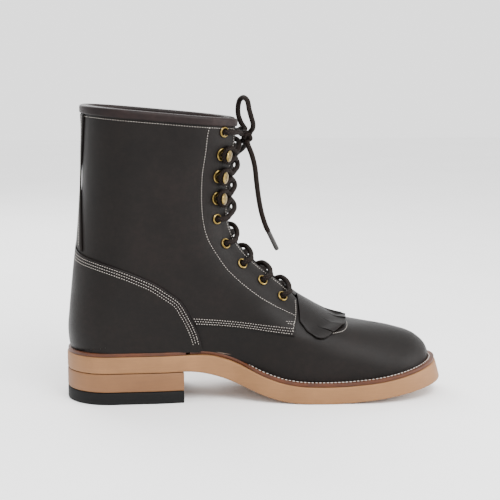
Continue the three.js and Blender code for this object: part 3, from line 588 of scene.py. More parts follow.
class Nodes:
    """Builds the node tree of one material in short steps."""

    def __init__(self, name: str) -> None:
        """Starts a material with its shader and output."""
        self.material = bpy.data.materials.new(name)
        self.material.use_nodes = True
        self.tree = self.material.node_tree
        self.shader = self.tree.nodes["Principled BSDF"]

    def add(self, kind: str, **values: object) -> bpy.types.Node:
        """Adds a node.

        Args:
            kind: Node type.
            values: Properties of the node, or inputs by name with spaces as underscores.

        Returns:
            The node.
        """
        node = self.tree.nodes.new(kind)
        for key, value in values.items():
            if hasattr(node, key):
                setattr(node, key, value)
            else:
                node.inputs[key.replace("_", " ")].default_value = value
        return node

    def link(self, source: bpy.types.NodeSocket, target: bpy.types.NodeSocket) -> None:
        """Joins two sockets."""
        self.tree.links.new(source, target)

    def place(self, kind: str = "Object", scale: Sequence[float] = (1, 1, 1)) -> bpy.types.NodeSocket:
        """Object or UV coordinates, stretched by scale.

        Args:
            kind: Output of Texture Coordinate to read.
            scale: Stretch along X, Y and Z.

        Returns:
            Socket that holds the place.
        """
        coordinate = self.add("ShaderNodeTexCoord")
        mapping = self.add("ShaderNodeMapping")
        mapping.inputs["Scale"].default_value = scale
        self.link(coordinate.outputs[kind], mapping.inputs["Vector"])
        return mapping.outputs["Vector"]

    def noise(self, at: bpy.types.NodeSocket, scale: float, detail: float = 4,
              rough: float = 0.55) -> bpy.types.NodeSocket:
        """Noise value at a place.

        Args:
            at: Place to read.
            scale: Size of the pattern.
            detail: Octaves.
            rough: Weight of the fine octaves.

        Returns:
            Socket that holds the value.
        """
        node = self.add("ShaderNodeTexNoise", Scale=scale, Detail=detail, Roughness=rough)
        self.link(at, node.inputs["Vector"])
        return node.outputs["Fac"]

    def cells(self, at: bpy.types.NodeSocket, scale: float,
              feature: str = "DISTANCE_TO_EDGE") -> bpy.types.NodeSocket:
        """Distance inside the cells of a Voronoi pattern."""
        node = self.add("ShaderNodeTexVoronoi", feature=feature, Scale=scale)
        self.link(at, node.inputs["Vector"])
        return node.outputs["Distance"]

    def ramp(self, value: bpy.types.NodeSocket, stops: Sequence[tuple[float,
            Sequence[float]]]) -> bpy.types.NodeSocket:
        """Colour ramp of (position, linear colour) stops.

        Args:
            value: Value to colour.
            stops: Place and colour of each stop.

        Returns:
            Socket that holds the colour.
        """
        node = self.add("ShaderNodeValToRGB")
        ramp = node.color_ramp
        while len(ramp.elements) < len(stops):
            ramp.elements.new(0.5)
        for element, (position, colour) in zip(ramp.elements, stops):
            element.position = position
            element.color = (*colour, 1)
        self.link(value, node.inputs["Fac"])
        return node.outputs["Color"]

    def span(self, value: bpy.types.NodeSocket, low: float, high: float, start: float = 0,
             end: float = 1) -> bpy.types.NodeSocket:
        """Maps a value from start..end to low..high.

        Args:
            value: Value to map.
            low: Result at the start.
            high: Result at the end.
            start: Value at the start.
            end: Value at the end.

        Returns:
            Socket that holds the result.
        """
        node = self.add("ShaderNodeMapRange")
        for key, number in (("From Min", start), ("From Max", end), ("To Min", low), ("To Max", high)):
            node.inputs[key].default_value = number
        self.link(value, node.inputs["Value"])
        return node.outputs["Result"]

    def math(self, operation: str, a: bpy.types.NodeSocket,
             b: bpy.types.NodeSocket | float) -> bpy.types.NodeSocket:
        """Arithmetic on a value and a value or number.

        Args:
            operation: Name of the operation.
            a: First value.
            b: Second value, a socket or a number.

        Returns:
            Socket that holds the result.
        """
        node = self.add("ShaderNodeMath", operation=operation)
        self.link(a, node.inputs[0])
        if isinstance(b, (int, float)):
            node.inputs[1].default_value = b
        else:
            self.link(b, node.inputs[1])
        return node.outputs[0]

    def mix(self, share: bpy.types.NodeSocket, a: bpy.types.NodeSocket,
            colour: Sequence[float]) -> bpy.types.NodeSocket:
        """Mixes a colour into another by a share.

        Args:
            share: How much of the colour is used.
            a: Colour underneath.
            colour: Colour on top.

        Returns:
            Socket that holds the colour.
        """
        node = self.add("ShaderNodeMix", data_type="RGBA")
        self.link(share, node.inputs["Factor"])
        self.link(a, node.inputs[6])
        node.inputs[7].default_value = (*colour, 1)
        return node.outputs[2]

    def bump(self, height: bpy.types.NodeSocket, distance: float, strength: float,
             after: bpy.types.NodeSocket | None = None) -> bpy.types.NodeSocket:
        """Bump from a height, on top of an earlier one.

        Args:
            height: Height to read.
            distance: Depth in metres.
            strength: Strength of the effect.
            after: Normal to add to, or None.

        Returns:
            Socket that holds the normal.
        """
        node = self.add("ShaderNodeBump", Distance=distance, Strength=strength)
        self.link(height, node.inputs["Height"])
        if after is not None:
            self.link(after, node.inputs["Normal"])
        return node.outputs["Normal"]

    def done(self, colour: bpy.types.NodeSocket, rough: bpy.types.NodeSocket,
             normal: bpy.types.NodeSocket, **values: float) -> bpy.types.Material:
        """Joins colour, roughness and normal to the shader and sets its plain values."""
        self.link(colour, self.shader.inputs["Base Color"])
        self.link(rough, self.shader.inputs["Roughness"])
        self.link(normal, self.shader.inputs["Normal"])
        for key, value in values.items():
            self.shader.inputs[key.replace("_", " ")].default_value = value
        return self.material


def linear(red: int, green: int, blue: int) -> tuple[float, float, float]:
    """Linear colour from 8-bit display values."""
    return tuple(((v / 255 + 0.055) / 1.055) ** 2.4 if v > 10 else v / 255 / 12.92
                 for v in (red, green, blue))


@dataclass(frozen=True)
class OiledLeather:
    """Dark oiled leather with a fine grain, faint pull-up patches and a soft shine."""

    name: str = "oiled leather"
    dark: tuple = linear(10, 7, 6)
    mid: tuple = linear(15, 11, 9)
    pale: tuple = linear(24, 17, 15)
    grain: float = 1500.0
    relief: float = 0.00009
    rough: tuple = (0.36, 0.5)

    def build(self) -> bpy.types.Material:
        """Makes the material."""
        n = Nodes(self.name)
        at = n.place()
        patches = n.noise(at, 22, 5, 0.6)
        mottle = n.noise(at, 260, 4, 0.6)
        mixed = n.math("ADD", n.math("MULTIPLY", patches, 0.65), n.math("MULTIPLY", mottle, 0.35))
        colour = n.ramp(mixed, [(0.36, self.dark), (0.52, self.mid), (0.72, self.pale)])
        pore = n.cells(at, self.grain)
        fine = n.noise(at, 3200, 3)
        crease = n.noise(n.place("Object", (1, 1, 1.8)), 120, 6, 0.65)
        colour = n.mix(n.span(pore, 0.35, 0.0, 0.0, 0.10), colour, tuple(c * 0.5 for c in self.dark))
        rough = n.math("ADD", n.span(patches, *self.rough, 0.3, 0.7), n.span(fine, -0.04, 0.06))
        normal = n.bump(n.span(pore, 0, 1, 0, 0.16), self.relief, 0.34)
        normal = n.bump(fine, self.relief, 0.25, normal)
        normal = n.bump(crease, 0.0006, 0.14, normal)
        return n.done(colour, rough, normal, Specular_IOR_Level=0.14)


@dataclass(frozen=True)
class SoleStock:
    """Pale sole with a sanded edge: fine streaks along it, and specks."""

    name: str = "sole stock"
    low: tuple = linear(112, 76, 42)
    high: tuple = linear(136, 96, 58)
    soiled: float = 0.25

    def build(self) -> bpy.types.Material:
        """Makes the material."""
        n = Nodes(self.name)
        at = n.place()
        broad = n.noise(at, 30, 5)
        streak = n.noise(n.place("Object", (60, 60, 900)), 1, 6, 0.7)
        speck = n.noise(at, 1700, 2)
        blend = n.math("ADD", n.math("MULTIPLY", broad, 0.6), n.math("MULTIPLY", streak, 0.4))
        colour = n.ramp(blend, [(0.3, self.low), (0.7, self.high)])
        colour = n.mix(n.span(speck, 0, self.soiled, 0.58, 0.8), colour,
                       tuple(c * 0.62 for c in self.low))
        normal = n.bump(streak, 0.0002, 0.25)
        normal = n.bump(speck, 0.0001, 0.3, normal)
        rough = n.span(streak, 0.5, 0.66)
        return n.done(colour, rough, normal, Specular_IOR_Level=0.4)


@dataclass(frozen=True)
class WeltEdge:
    """Dressed brown leather strip with fibrous edges."""

    name: str = "welt leather"
    base: tuple = linear(50, 23, 8)
    pale: tuple = linear(88, 45, 18)

    def build(self) -> bpy.types.Material:
        """Makes the material."""
        n = Nodes(self.name)
        at = n.place()
        fibre = n.noise(n.place("Object", (80, 80, 700)), 1, 6, 0.7)
        broad = n.noise(at, 45, 4)
        colour = n.ramp(n.math("ADD", n.math("MULTIPLY", fibre, 0.5), n.math("MULTIPLY", broad, 0.5)),
                        [(0.35, self.base), (0.7, self.pale)])
        normal = n.bump(n.noise(at, 1500, 3), 0.0001, 0.4, n.bump(fibre, 0.0003, 0.3))
        return n.done(colour, n.span(broad, 0.4, 0.58), normal, Specular_IOR_Level=0.3)


@dataclass(frozen=True)
class Lining:
    """Plain unfinished leather, as inside the shaft and on the footbed."""

    name: str = "lining leather"
    base: tuple = linear(70, 52, 40)
    pale: tuple = linear(100, 78, 62)

    def build(self) -> bpy.types.Material:
        """Makes the material."""
        n = Nodes(self.name)
        at = n.place()
        nap = n.noise(at, 900, 6, 0.7)
        broad = n.noise(at, 35, 4)
        colour = n.ramp(n.math("ADD", n.math("MULTIPLY", nap, 0.4), n.math("MULTIPLY", broad, 0.6)),
                        [(0.35, self.base), (0.65, self.pale)])
        normal = n.bump(n.cells(at, 1300), 0.00008, 0.3, n.bump(nap, 0.00015, 0.4))
        return n.done(colour, n.span(nap, 0.68, 0.86), normal, Sheen_Weight=0.12)


@dataclass(frozen=True)
class Rubber:
    """Black heel rubber with a fine pebble and dust in it."""

    name: str = "heel rubber"
    base: tuple = linear(5, 5, 5)
    dust: tuple = linear(14, 13, 13)

    def build(self) -> bpy.types.Material:
        """Makes the material."""
        n = Nodes(self.name)
        at = n.place()
        pebble = n.cells(at, 1100, "SMOOTH_F1")
        broad = n.noise(at, 60, 5)
        colour = n.ramp(n.math("ADD", n.math("MULTIPLY", broad, 0.7), n.math("MULTIPLY", pebble, 0.3)),
                        [(0.4, self.base), (0.8, self.dust)])
        return n.done(colour, n.span(broad, 0.62, 0.8), n.bump(pebble, 0.00012, 0.4),
                      Specular_IOR_Level=0.2)


@dataclass(frozen=True)
class AgedBrass:
    """Antiqued brass: bright where rubbed, brown in the hollows."""

    name: str = "aged brass"
    bright: tuple = linear(150, 128, 72)
    brown: tuple = linear(74, 56, 30)

    def build(self) -> bpy.types.Material:
        """Makes the material."""
        n = Nodes(self.name)
        at = n.place()
        stain = n.noise(at, 420, 5, 0.65)
        scratch = n.noise(n.place("Object", (300, 2400, 300)), 1, 4, 0.7)
        colour = n.ramp(stain, [(0.32, self.brown), (0.62, self.bright)])
        rough = n.math("ADD", n.span(stain, 0.42, 0.24, 0.3, 0.7), n.span(scratch, -0.03, 0.06))
        return n.done(colour, rough, n.bump(scratch, 0.00004, 0.3), Metallic=1.0)


@dataclass(frozen=True)
class BraidedCord:
    """Round braided lace, patterned along its own UV map in braid steps, with painted shade in the grooves
    between strands and a painted highlight on their crests.
    """

    name: str = "braided cord"
    # dark is the cord's own tone; pale is the painted highlight on the strand crests.
    dark: tuple = linear(13, 8, 6)
    pale: tuple = linear(38, 25, 19)

    def build(self) -> bpy.types.Material:
        """Makes the material."""
        n = Nodes(self.name)
        uv = n.place("UV")
        split = n.add("ShaderNodeSeparateXYZ")
        n.link(uv, split.inputs[0])
        along, turn = split.outputs["X"], split.outputs["Y"]
        one = n.math("ABSOLUTE", n.math("SINE", n.math("MULTIPLY", n.math("ADD", along, turn),
                                                       math.pi), 0.0), 0.0)
        two = n.math("ABSOLUTE", n.math("SINE", n.math("MULTIPLY", n.math("SUBTRACT", along, turn),
                                                       math.pi), 0.0), 0.0)
        height = n.math("MULTIPLY", one, two)
        fuzz = n.noise(n.place(), 2200, 4, 0.7)
        # The colour follows the braid's height: painted shade darkens the grooves between strands below the
        # dark tone, and a painted highlight lightens their crests; the fuzz adds random tone.
        level = n.math("ADD", n.math("MULTIPLY", height, 0.75), n.math("MULTIPLY", fuzz, 0.25))
        colour = n.ramp(level, [(0.08, tuple(c * 0.55 for c in self.dark)), (0.4, self.dark),
                                (0.95, self.pale)])
        normal = n.bump(fuzz, 0.0001, 0.35, n.bump(height, 0.00045, 0.8))
        return n.done(colour, n.span(fuzz, 0.62, 0.85), normal, Specular_IOR_Level=0.12)


@dataclass(frozen=True)
class Plain:
    """A quiet finish for small or hidden pieces: two tones, a bump and a metal share."""

    name: str
    low: tuple
    high: tuple
    scale: float = 600.0
    rough: tuple = (0.5, 0.7)
    metal: float = 0.0
    relief: float = 0.0001

    def build(self) -> bpy.types.Material:
        """Makes the material."""
        n = Nodes(self.name)
        at = n.place()
        grain = n.noise(at, self.scale, 5, 0.65)
        colour = n.ramp(n.math("ADD", n.math("MULTIPLY", grain, 0.5),
                               n.math("MULTIPLY", n.noise(at, 40, 3), 0.5)),
                               [(0.35, self.low), (0.68, self.high)])
        return n.done(colour, n.span(grain, *self.rough), n.bump(grain, self.relief, 0.4),
                      Metallic=self.metal)


@dataclass
class Palette:
    """Every finish of the boot, built once."""

    upper: bpy.types.Material = field(default_factory=lambda: OiledLeather().build())
    # Copy of the upper leather for the collar binding: its purplish tone is its own, its paler values are a
    # painted highlight on the rounded band.
    collar: bpy.types.Material = field(default_factory=lambda: OiledLeather("collar leather",
            linear(18, 12, 12), linear(28, 19, 18), linear(44, 32, 30), 2100.0, 0.00006, (0.36, 0.48)).build())
    sole: bpy.types.Material = field(default_factory=lambda: SoleStock().build())
    heel: bpy.types.Material = field(default_factory=lambda: SoleStock("stacked heel",
            linear(98, 64, 35), linear(120, 82, 48), 0.3).build())
    welt: bpy.types.Material = field(default_factory=lambda: WeltEdge().build())
    lining: bpy.types.Material = field(default_factory=lambda: Lining().build())
    rubber: bpy.types.Material = field(default_factory=lambda: Rubber().build())
    brass: bpy.types.Material = field(default_factory=lambda: AgedBrass().build())
    cord: bpy.types.Material = field(default_factory=lambda: BraidedCord().build())
    thread: bpy.types.Material = field(default_factory=lambda: Plain("waxed thread",
            linear(158, 150, 142), linear(198, 192, 184), 2500.0, (0.5, 0.7)).build())
    tip: bpy.types.Material = field(default_factory=lambda: Plain("aglet film", linear(12, 8, 6),
            linear(20, 14, 11), 900.0, (0.42, 0.52)).build())
    cork: bpy.types.Material = field(default_factory=lambda: Plain("ground cork", linear(120, 84, 50),
            linear(176, 132, 86), 420.0, (0.8, 0.95), 0.0, 0.0003).build())
    steel: bpy.types.Material = field(default_factory=lambda: Plain("shank steel",
            linear(120, 124, 128), linear(160, 164, 168), 300.0, (0.3, 0.45), 1.0).build())
    board: bpy.types.Material = field(default_factory=lambda: Plain("stiffener board",
            linear(110, 84, 62), linear(146, 118, 92), 700.0, (0.75, 0.9)).build())


# -------------------------------------------------------------------------------------- panels


@dataclass(frozen=True)
class Patch:
    """A four-edged panel on the last, its edges as dense (station, share) lines.

    low and high run from the left edge to the right one; left and right run from low to high.
    """

    low: Array
    high: Array
    left: Array
    right: Array
    pitch: float = 2.2

    def grid(self) -> tuple[Array, Array, Array]:
        """The patch as seats, with the shares along its two directions."""
        across = max(self.reach(self.low), self.reach(self.high))
        down = max(self.reach(self.left), self.reach(self.right))
        u = edge_shares(max(6, int(across / self.pitch)), across)
        v = edge_shares(max(6, int(down / self.pitch)), down)
        edges = (self.even(self.low, u), self.even(self.high, u), self.even(self.left, v),
                 self.even(self.right, v))
        return coons(*edges, u, v), u, v

    @staticmethod
    def reach(line: Array) -> float:
        """Length of a seat line on the last, in millimetres."""
        return float(run_along(LAST.point(line[:, 0], line[:, 1]))[-1])

    @staticmethod
    def even(line: Array, shares: Array) -> Array:
        """Seats at even shares of the line's length on the last."""
        run = run_along(LAST.point(line[:, 0], line[:, 1]))
        return np.stack([np.interp(shares * run[-1], run, line[:, k]) for k in range(2)], -1)


def seats_of(outline: Sequence[Sequence[float]], per: int = 6) -> Array:
    """Dense seat line through side-view points."""
    return LAST.seat(smooth_line(outline, per))


def seat_run(s0: float, a0: float, s1: float, a1: float, n: int = 60) -> Array:
    """Straight seat line between two seats."""
    return np.stack([np.linspace(s0, s1, n), np.linspace(a0, a1, n)], -1)


def throat_line(s0: float, s1: float, n: int = 60) -> Array:
    """Seat line along a facing's edge."""
    s = np.linspace(s0, s1, n)
    return np.stack([s, np.abs(LAST.side_at(s, THROAT_HALF_GAP))], -1)


def chain(*lines: Array) -> Array:
    """Seat lines end to end."""
    return np.vstack([lines[0], *(line[1:] for line in lines[1:])])


def pinned(line: Array, start: Sequence[float] | None = None,
           end: Sequence[float] | None = None) -> Array:
    """A seat line whose ends are set exactly.

    Args:
        line: Seat line.
        start: Seat for its first point, or None.
        end: Seat for its last point, or None.

    Returns:
        The line with those ends.
    """
    out = line.copy()
    if start is not None:
        out[0] = start
    if end is not None:
        out[-1] = end
    return out


def rounding(u: Array, v: Array, soft: str) -> Array:
    """How far each point of a grid drops at its rounded edges.

    Args:
        u: Shares of the first direction.
        v: Shares of the second direction.
        soft: Letters of the rounded edges: l (first u), r (last u), b (first v), t (last v).

    Returns:
        Drop in millimetres, as len(u) by len(v).
    """
    drop = np.zeros((len(u), len(v)))
    for depth, amount in enumerate(EDGE_DROP):
        if "l" in soft:
            drop[depth, :] = np.maximum(drop[depth, :], amount)
        if "r" in soft:
            drop[-1 - depth, :] = np.maximum(drop[-1 - depth, :], amount)
        if "b" in soft:
            drop[:, depth] = np.maximum(drop[:, depth], amount)
        if "t" in soft:
            drop[:, -1 - depth] = np.maximum(drop[:, -1 - depth], amount)
    return drop


THROAT_HALF_GAP = 10.5
THROAT_FOOT = 9.85
EDGE_DROP = (0.55, 0.2, 0.04)


def panel(patch: Patch, layer: Layer, side: Side, soft: str, holes: Array | None = None,
          hole: float = 3.5) -> tuple[Array, list[tuple[int, ...]]]:
    """One side's panel as a closed sheet with rounded edges.

    Args:
        patch: Shape of the panel.
        layer: Where it lies over the last.
        side: Which side of the boot.
        soft: Letters of the rounded edges, as in rounding().
        holes: Seats of round holes, or None.
        hole: Radius of the holes.

    Returns:
        Points and faces.
    """
    seats, u, v = patch.grid()
    s, g = seats[..., 0], seats[..., 1] * side.value
    base, out = LAST.point(s, g), LAST.normal(s, g)
    drop = rounding(u, v, soft)
    outer = base + out * (layer.outer - drop)[..., None]
    inner = base + out * (layer.inner + 0.25 * drop)[..., None]
    keep = None
    if holes is not None:
        keep = np.ones((len(u) - 1, len(v) - 1), bool)
        centre = (base[:-1, :-1] + base[1:, 1:] + base[1:, :-1] + base[:-1, 1:]) / 4
        for hs, ha in holes:
            at, axis = LAST.point(hs, ha * side.value), LAST.normal(hs, ha * side.value)
            gone = np.linalg.norm(centre - at, axis=-1) < hole
            keep &= ~gone
            near = np.zeros(base.shape[:2], bool)
            for i, j in zip(*np.nonzero(gone)):
                near[i:i + 2, j:j + 2] = True
            for grid in (outer, inner):
                d = grid[near] - at
                high = d @ axis
                flat = d - high[:, None] * axis
                grid[near] = at + unit(flat) * hole + high[:, None] * axis
    return thick_sheet(outer, inner, keep)


def lace_stations() -> tuple[Array, Array]:
    """Stations of the nine lace rows, and how far each row stands from the middle line.

    Returns:
        Stations, and distances from the middle line in millimetres.
    """
    s = np.arange(0, LOWEST_ROW + 0.005, 0.01)
    run = run_along(LAST.offset(s, LAST.side_at(s, ROW_TOP), 0.0))
    distances = np.array(ROW_DISTANCES)
    stations = np.interp(distances * run[-1] / distances[-1], run, s)
    return stations, ROW_TOP + (ROW_BOTTOM - ROW_TOP) * np.arange(len(stations)) / (len(stations) - 1)


LOWEST_ROW = 9.74
ROW_TOP = 22.5
ROW_BOTTOM = 20.5
ROW_DISTANCES = (9.8, 27.8, 45.8, 63.8, 80.8, 102.8, 124.8, 146.8, 168.8)
HOOK_ROWS = (1, 2, 3)


@dataclass
class Upper:
    """Leather panels of the boot."""

    palette: Palette
    pitch: float = 2.2
    stations: Array = field(default_factory=lambda: lace_stations()[0])
    halves: Array = field(default_factory=lambda: lace_stations()[1])
    quarter_back: float = 104.0
    lining_back: float = 109.5
    foxing_back: float = 128.4
    heel_lining_back: float = 119.5
    backstay_top: float = 234.2
    backstay_foot: float = 128.6

    def build(self) -> None:
        """Makes every panel."""
        for side in Side:
            self.quarter(side)
            self.facing(side)
            self.lining(side)
        self.foxing()
        self.vamp()
        self.backstay()
        self.tongue()
        self.heel_lining()
        self.binding()

    def two_sided(self, name: str, slot: str, material: bpy.types.Material, patch: Patch, layer: Layer,
                  soft: str, node: str) -> None:
        """Both halves of a symmetric panel, welded along the middle line.

        Args:
            name: Name of the piece.
            slot: Material slot.
            material: Finish.
            patch: Shape of one half.
            layer: Where it lies over the last.
            soft: Rounded edges, as in rounding().
            node: CAD node that it stands for.
        """
        obj = mesh_object(name, *joined(panel(patch, layer, side, soft) for side in Side))
        weld(obj)
        settle(obj, Body.BOOT, slot, material, node)

    def quarter(self, side: Side) -> None:
        """Shaft and instep leather of one side, with its throat edge and lace holes."""
        a0 = throat_line(RIM_STATION, THROAT_FOOT)
        front = LAST.seat(smooth_line(QUARTER_FRONT, 6))
        foot = LAST.seat(smooth_line(QUARTER_BOTTOM, 6))[::-1]
        right = chain(a0, front)
        back_s = self.back_station(self.quarter_back)
        patch = Patch(
            seat_run(RIM_STATION, 1, RIM_STATION, a0[0, 1]),
            pinned(foot, (back_s, 1.0), right[-1]),
            seat_run(RIM_STATION, 1, back_s, 1),
            right,
            self.pitch,
        )
        holes = self.lace_holes()
        obj = mesh_object(f"quarter_{side.word}_leather", *panel(patch, QUARTER, side, "rt", holes))
        settle(obj, Body.BOOT, "upper_leather", self.palette.upper, f"quarter_{side.word}")

    def lace_holes(self) -> Array:
        """Seats of the eyelet holes of one side, as station and share."""
        rows = [i for i in range(len(self.stations)) if i not in HOOK_ROWS]
        shares = [abs(float(LAST.side_at(self.stations[i], self.halves[i]))) for i in rows]
        return np.stack([self.stations[rows], shares], -1)

    def back_station(self, z: float) -> float:
        """Station whose back end is at a height."""
        s = np.linspace(0, LAST.heel_station, 400)
        return float(np.interp(-z, -LAST.ends(s)[1], s))

    def facing(self, side: Side) -> None:
        """Reinforcement inside the throat edge."""
        throat = throat_line(RIM_STATION, THROAT_FOOT - 0.1)
        seam = seats_of([(117.3, 236), *FACING_SEAM[:-1], (176, 74.4)])
        seam[0] = (RIM_STATION, seam[1, 1])
        top = seat_run(RIM_STATION, seam[0, 1], RIM_STATION, throat[0, 1])
        patch = Patch(top, seat_run(*seam[-1], *throat[-1]), seam, throat, self.pitch)
        holes = self.lace_holes()
        obj = mesh_object(f"facing_{side.word}_leather", *panel(patch, VAMP, side, "rl", holes))
        settle(obj, Body.BOOT, "lining_leather", self.palette.lining, f"facing_stay_{side.word}")

    def lining(self, side: Side) -> None:
        """Lining of one side of the shaft."""
        seam = seats_of([(116.4, 236), *((x - 0.8, z - 0.8) for x, z in FACING_SEAM[:-1]), (171, 74)])
        seam[0] = (RIM_STATION, seam[1, 1])
        back_s = self.back_station(self.lining_back)
        foot = seats_of([(8, 109.8), (30, 105.8), (60, 96.8), (97, 81), (147, 73.4), (171, 74)])
        patch = Patch(
            seat_run(RIM_STATION, 1, RIM_STATION, seam[0, 1]),
            pinned(foot, (back_s, 1.0), seam[-1]),
            seat_run(RIM_STATION, 1, back_s, 1),
            seam,
            3.0,
        )
        obj = mesh_object(f"shaft_lining_{side.word}", *panel(patch, VAMP, side, "rt"))
        settle(obj, Body.BOOT, "lining_leather", self.palette.lining, f"quarter_lining_{side.word}")

    def foxing(self) -> None:
        """Heel cover that runs round the back, its top edge cut in a long curve."""
        top = seats_of(FOXING_TOP)
        front = seats_of(FOXING_FRONT)
        start = (self.back_station(self.foxing_back), 1.0)
        front[-1, 1] = 1.0
        foot = self.feather_line(float(front[-1, 0]), LAST.heel_station)[::-1]
        patch = Patch(pinned(top, start, front[0]), foot, seat_run(*start, LAST.heel_station, 1),
                      front, 2.0)
        self.two_sided("heel_foxing_leather", "upper_leather", self.palette.upper, patch, FOXING, "br",
                       "heel_foxing")

    @staticmethod
    def feather_line(s0: float, s1: float, n: int = 80) -> Array:
        """Seat line along the feather edge."""
        return seat_run(s0, 1, s1, 1, n)

    def vamp(self) -> None:
        """Toe and instep leather, one smooth piece over the toe."""
        toe = LAST.toe_station - 0.02
        top = seats_of([(97, 76.5), (120, 73.6), (147, 71.5), (166, 69.2), (180, 68.8), (186, 72),
                        (189.6, 77)])
        crest = float(self.crest_station(191.2))
        ridge = chain(seat_run(*top[-1], crest, 0, 8), seat_run(crest, 0, toe, 0, 90))
        low = chain(top, ridge)
        rear = LAST.seat(np.stack([np.full(30, 97.0),
                                   np.linspace(76.5, float(LAST.feather(np.array(97.0))), 30)], -1))
        rear[-1, 1] = 1.0
        patch = Patch(pinned(low, rear[0]), self.feather_line(float(rear[-1, 0]), toe), rear,
                      seat_run(toe, 0, toe, 1), 1.9)
        self.two_sided("vamp_leather", "upper_leather", self.palette.upper, patch, VAMP, "", "vamp")

    @staticmethod
    def crest_station(x: float) -> float:
        """Station whose front end is at x."""
        s = np.linspace(8, LAST.toe_station, 600)
        return float(np.interp(x, LAST.ends(s)[2], s))

    def backstay(self) -> None:
        """Narrow strip down the back seam."""
        edge = seats_of([(20.8, 234.2), (19.2, 208), (17.5, 181), (17, 160), (17, 141), (16.9, 123.2)])
        top, foot = (self.back_station(self.backstay_top), 1.0), (self.back_station(self.backstay_foot), 1.0)
        patch = Patch(seat_run(*top, *edge[0]), seat_run(*foot, *edge[-1]), seat_run(*top, *foot),
                      edge, 1.6)
        self.two_sided("backstay_leather", "upper_leather", self.palette.upper, patch, BACKSTAY, "rb",
                       "backstay")

    def tongue(self) -> None:
        """Tongue behind the laces."""
        s = np.linspace(0.3, 12, 110)
        half = 24.0 - 2.0 * smoothstep(s, 0, 12)
        y = np.linspace(-1, 1, 34)
        grid_s = np.repeat(s[:, None], len(y), 1)
        g = LAST.side_at(grid_s, half[:, None] * y[None, :])
        edge = np.minimum(1, (1 - np.abs(y)) * 12)[None, :]
        wave = 0.35 * np.sin(grid_s * 5.2) * (1 - np.abs(y[None, :]) * 0.5)
        outer = LAST.offset(grid_s, g, TONGUE.outer - 0.5 * (1 - edge) + wave)
        inner = LAST.offset(grid_s, g, TONGUE.inner + wave)
        obj = mesh_object("tongue_leather", *thick_sheet(outer, inner))
        settle(obj, Body.BOOT, "upper_leather", self.palette.upper, "tongue")

    def heel_lining(self) -> None:
        """Lining inside the heel."""
        start = (self.back_station(self.heel_lining_back), 1.0)
        top = seats_of([(8, 119.6), (30, 115), (60, 106), (95.5, 90)])
        front = seats_of([(95.5, 90), (95.5, 70), (95.5, 44)])
        front[-1, 1] = 1.0
        foot = self.feather_line(float(front[-1, 0]), LAST.heel_station)[::-1]
        patch = Patch(pinned(top, start, front[0]), foot, seat_run(*start, LAST.heel_station, 1),
                      front, 3.0)
        self.two_sided("heel_lining_leather", "lining_leather", self.palette.lining, patch,
                       HEEL_LINING, "b", "heel_lining")

    def binding(self) -> None:
        """Soft strip folded over the rim, open at the throat."""
        start = abs(float(LAST.side_at(0.0, THROAT_HALF_GAP)))
        half = np.linspace(start, 1, 64)
        g = np.concatenate([-half, half[-2::-1]])
        base, out = LAST.point(0.0, g), LAST.normal(0.0, g)
        up = unit(base - LAST.point(0.05, g))
        profile = smooth_line(BINDING_PROFILE, 4, closed=True)
        end = np.minimum(1, np.minimum(np.arange(len(g)), np.arange(len(g))[::-1]) / 2.0)
        rings = base[:, None] + out[:, None] * profile[None, :, :1] + up[:, None] * profile[None, :, 1:]
        middle = rings.mean(1, keepdims=True)
        rings = middle + (rings - middle) * (0.9 + 0.1 * end)[:, None, None]
        n = profile.shape[0]
        faces = [(i * n + k, i * n + (k + 1) % n, (i + 1) * n + (k + 1) % n, (i + 1) * n + k)
                 for i in range(len(g) - 1) for k in range(n)]
        faces += [tuple(reversed(range(n))), tuple(range((len(g) - 1) * n, len(g) * n))]
        points = rings.reshape(-1, 3)
        obj = mesh_object("collar_binding_leather", points, outward(points, faces))
        # Its finish is the collar copy, whose paler values paint the highlight on the band.
        settle(obj, Body.BOOT, "collar_leather", self.palette.collar, "collar_binding")


HEEL_LINING = Layer(-3.2, -2.0)
BINDING_PROFILE = ((2.5, -5), (3.2, -5.15), (3.75, -4.6), (3.9, -2.5), (3.8, -0.4), (3.2, 1.0),
                   (1.9, 1.6), (-1.6, 1.6), (-3.05, 1.0),
    (-3.5, -0.4), (-3.5, -4.5), (-3.0, -5.1), (-2.35, -5), (-2.3, -2), (-2.0, 0.1), (0.2, 0.5),
    (2.2, 0.1), (2.45, -2))


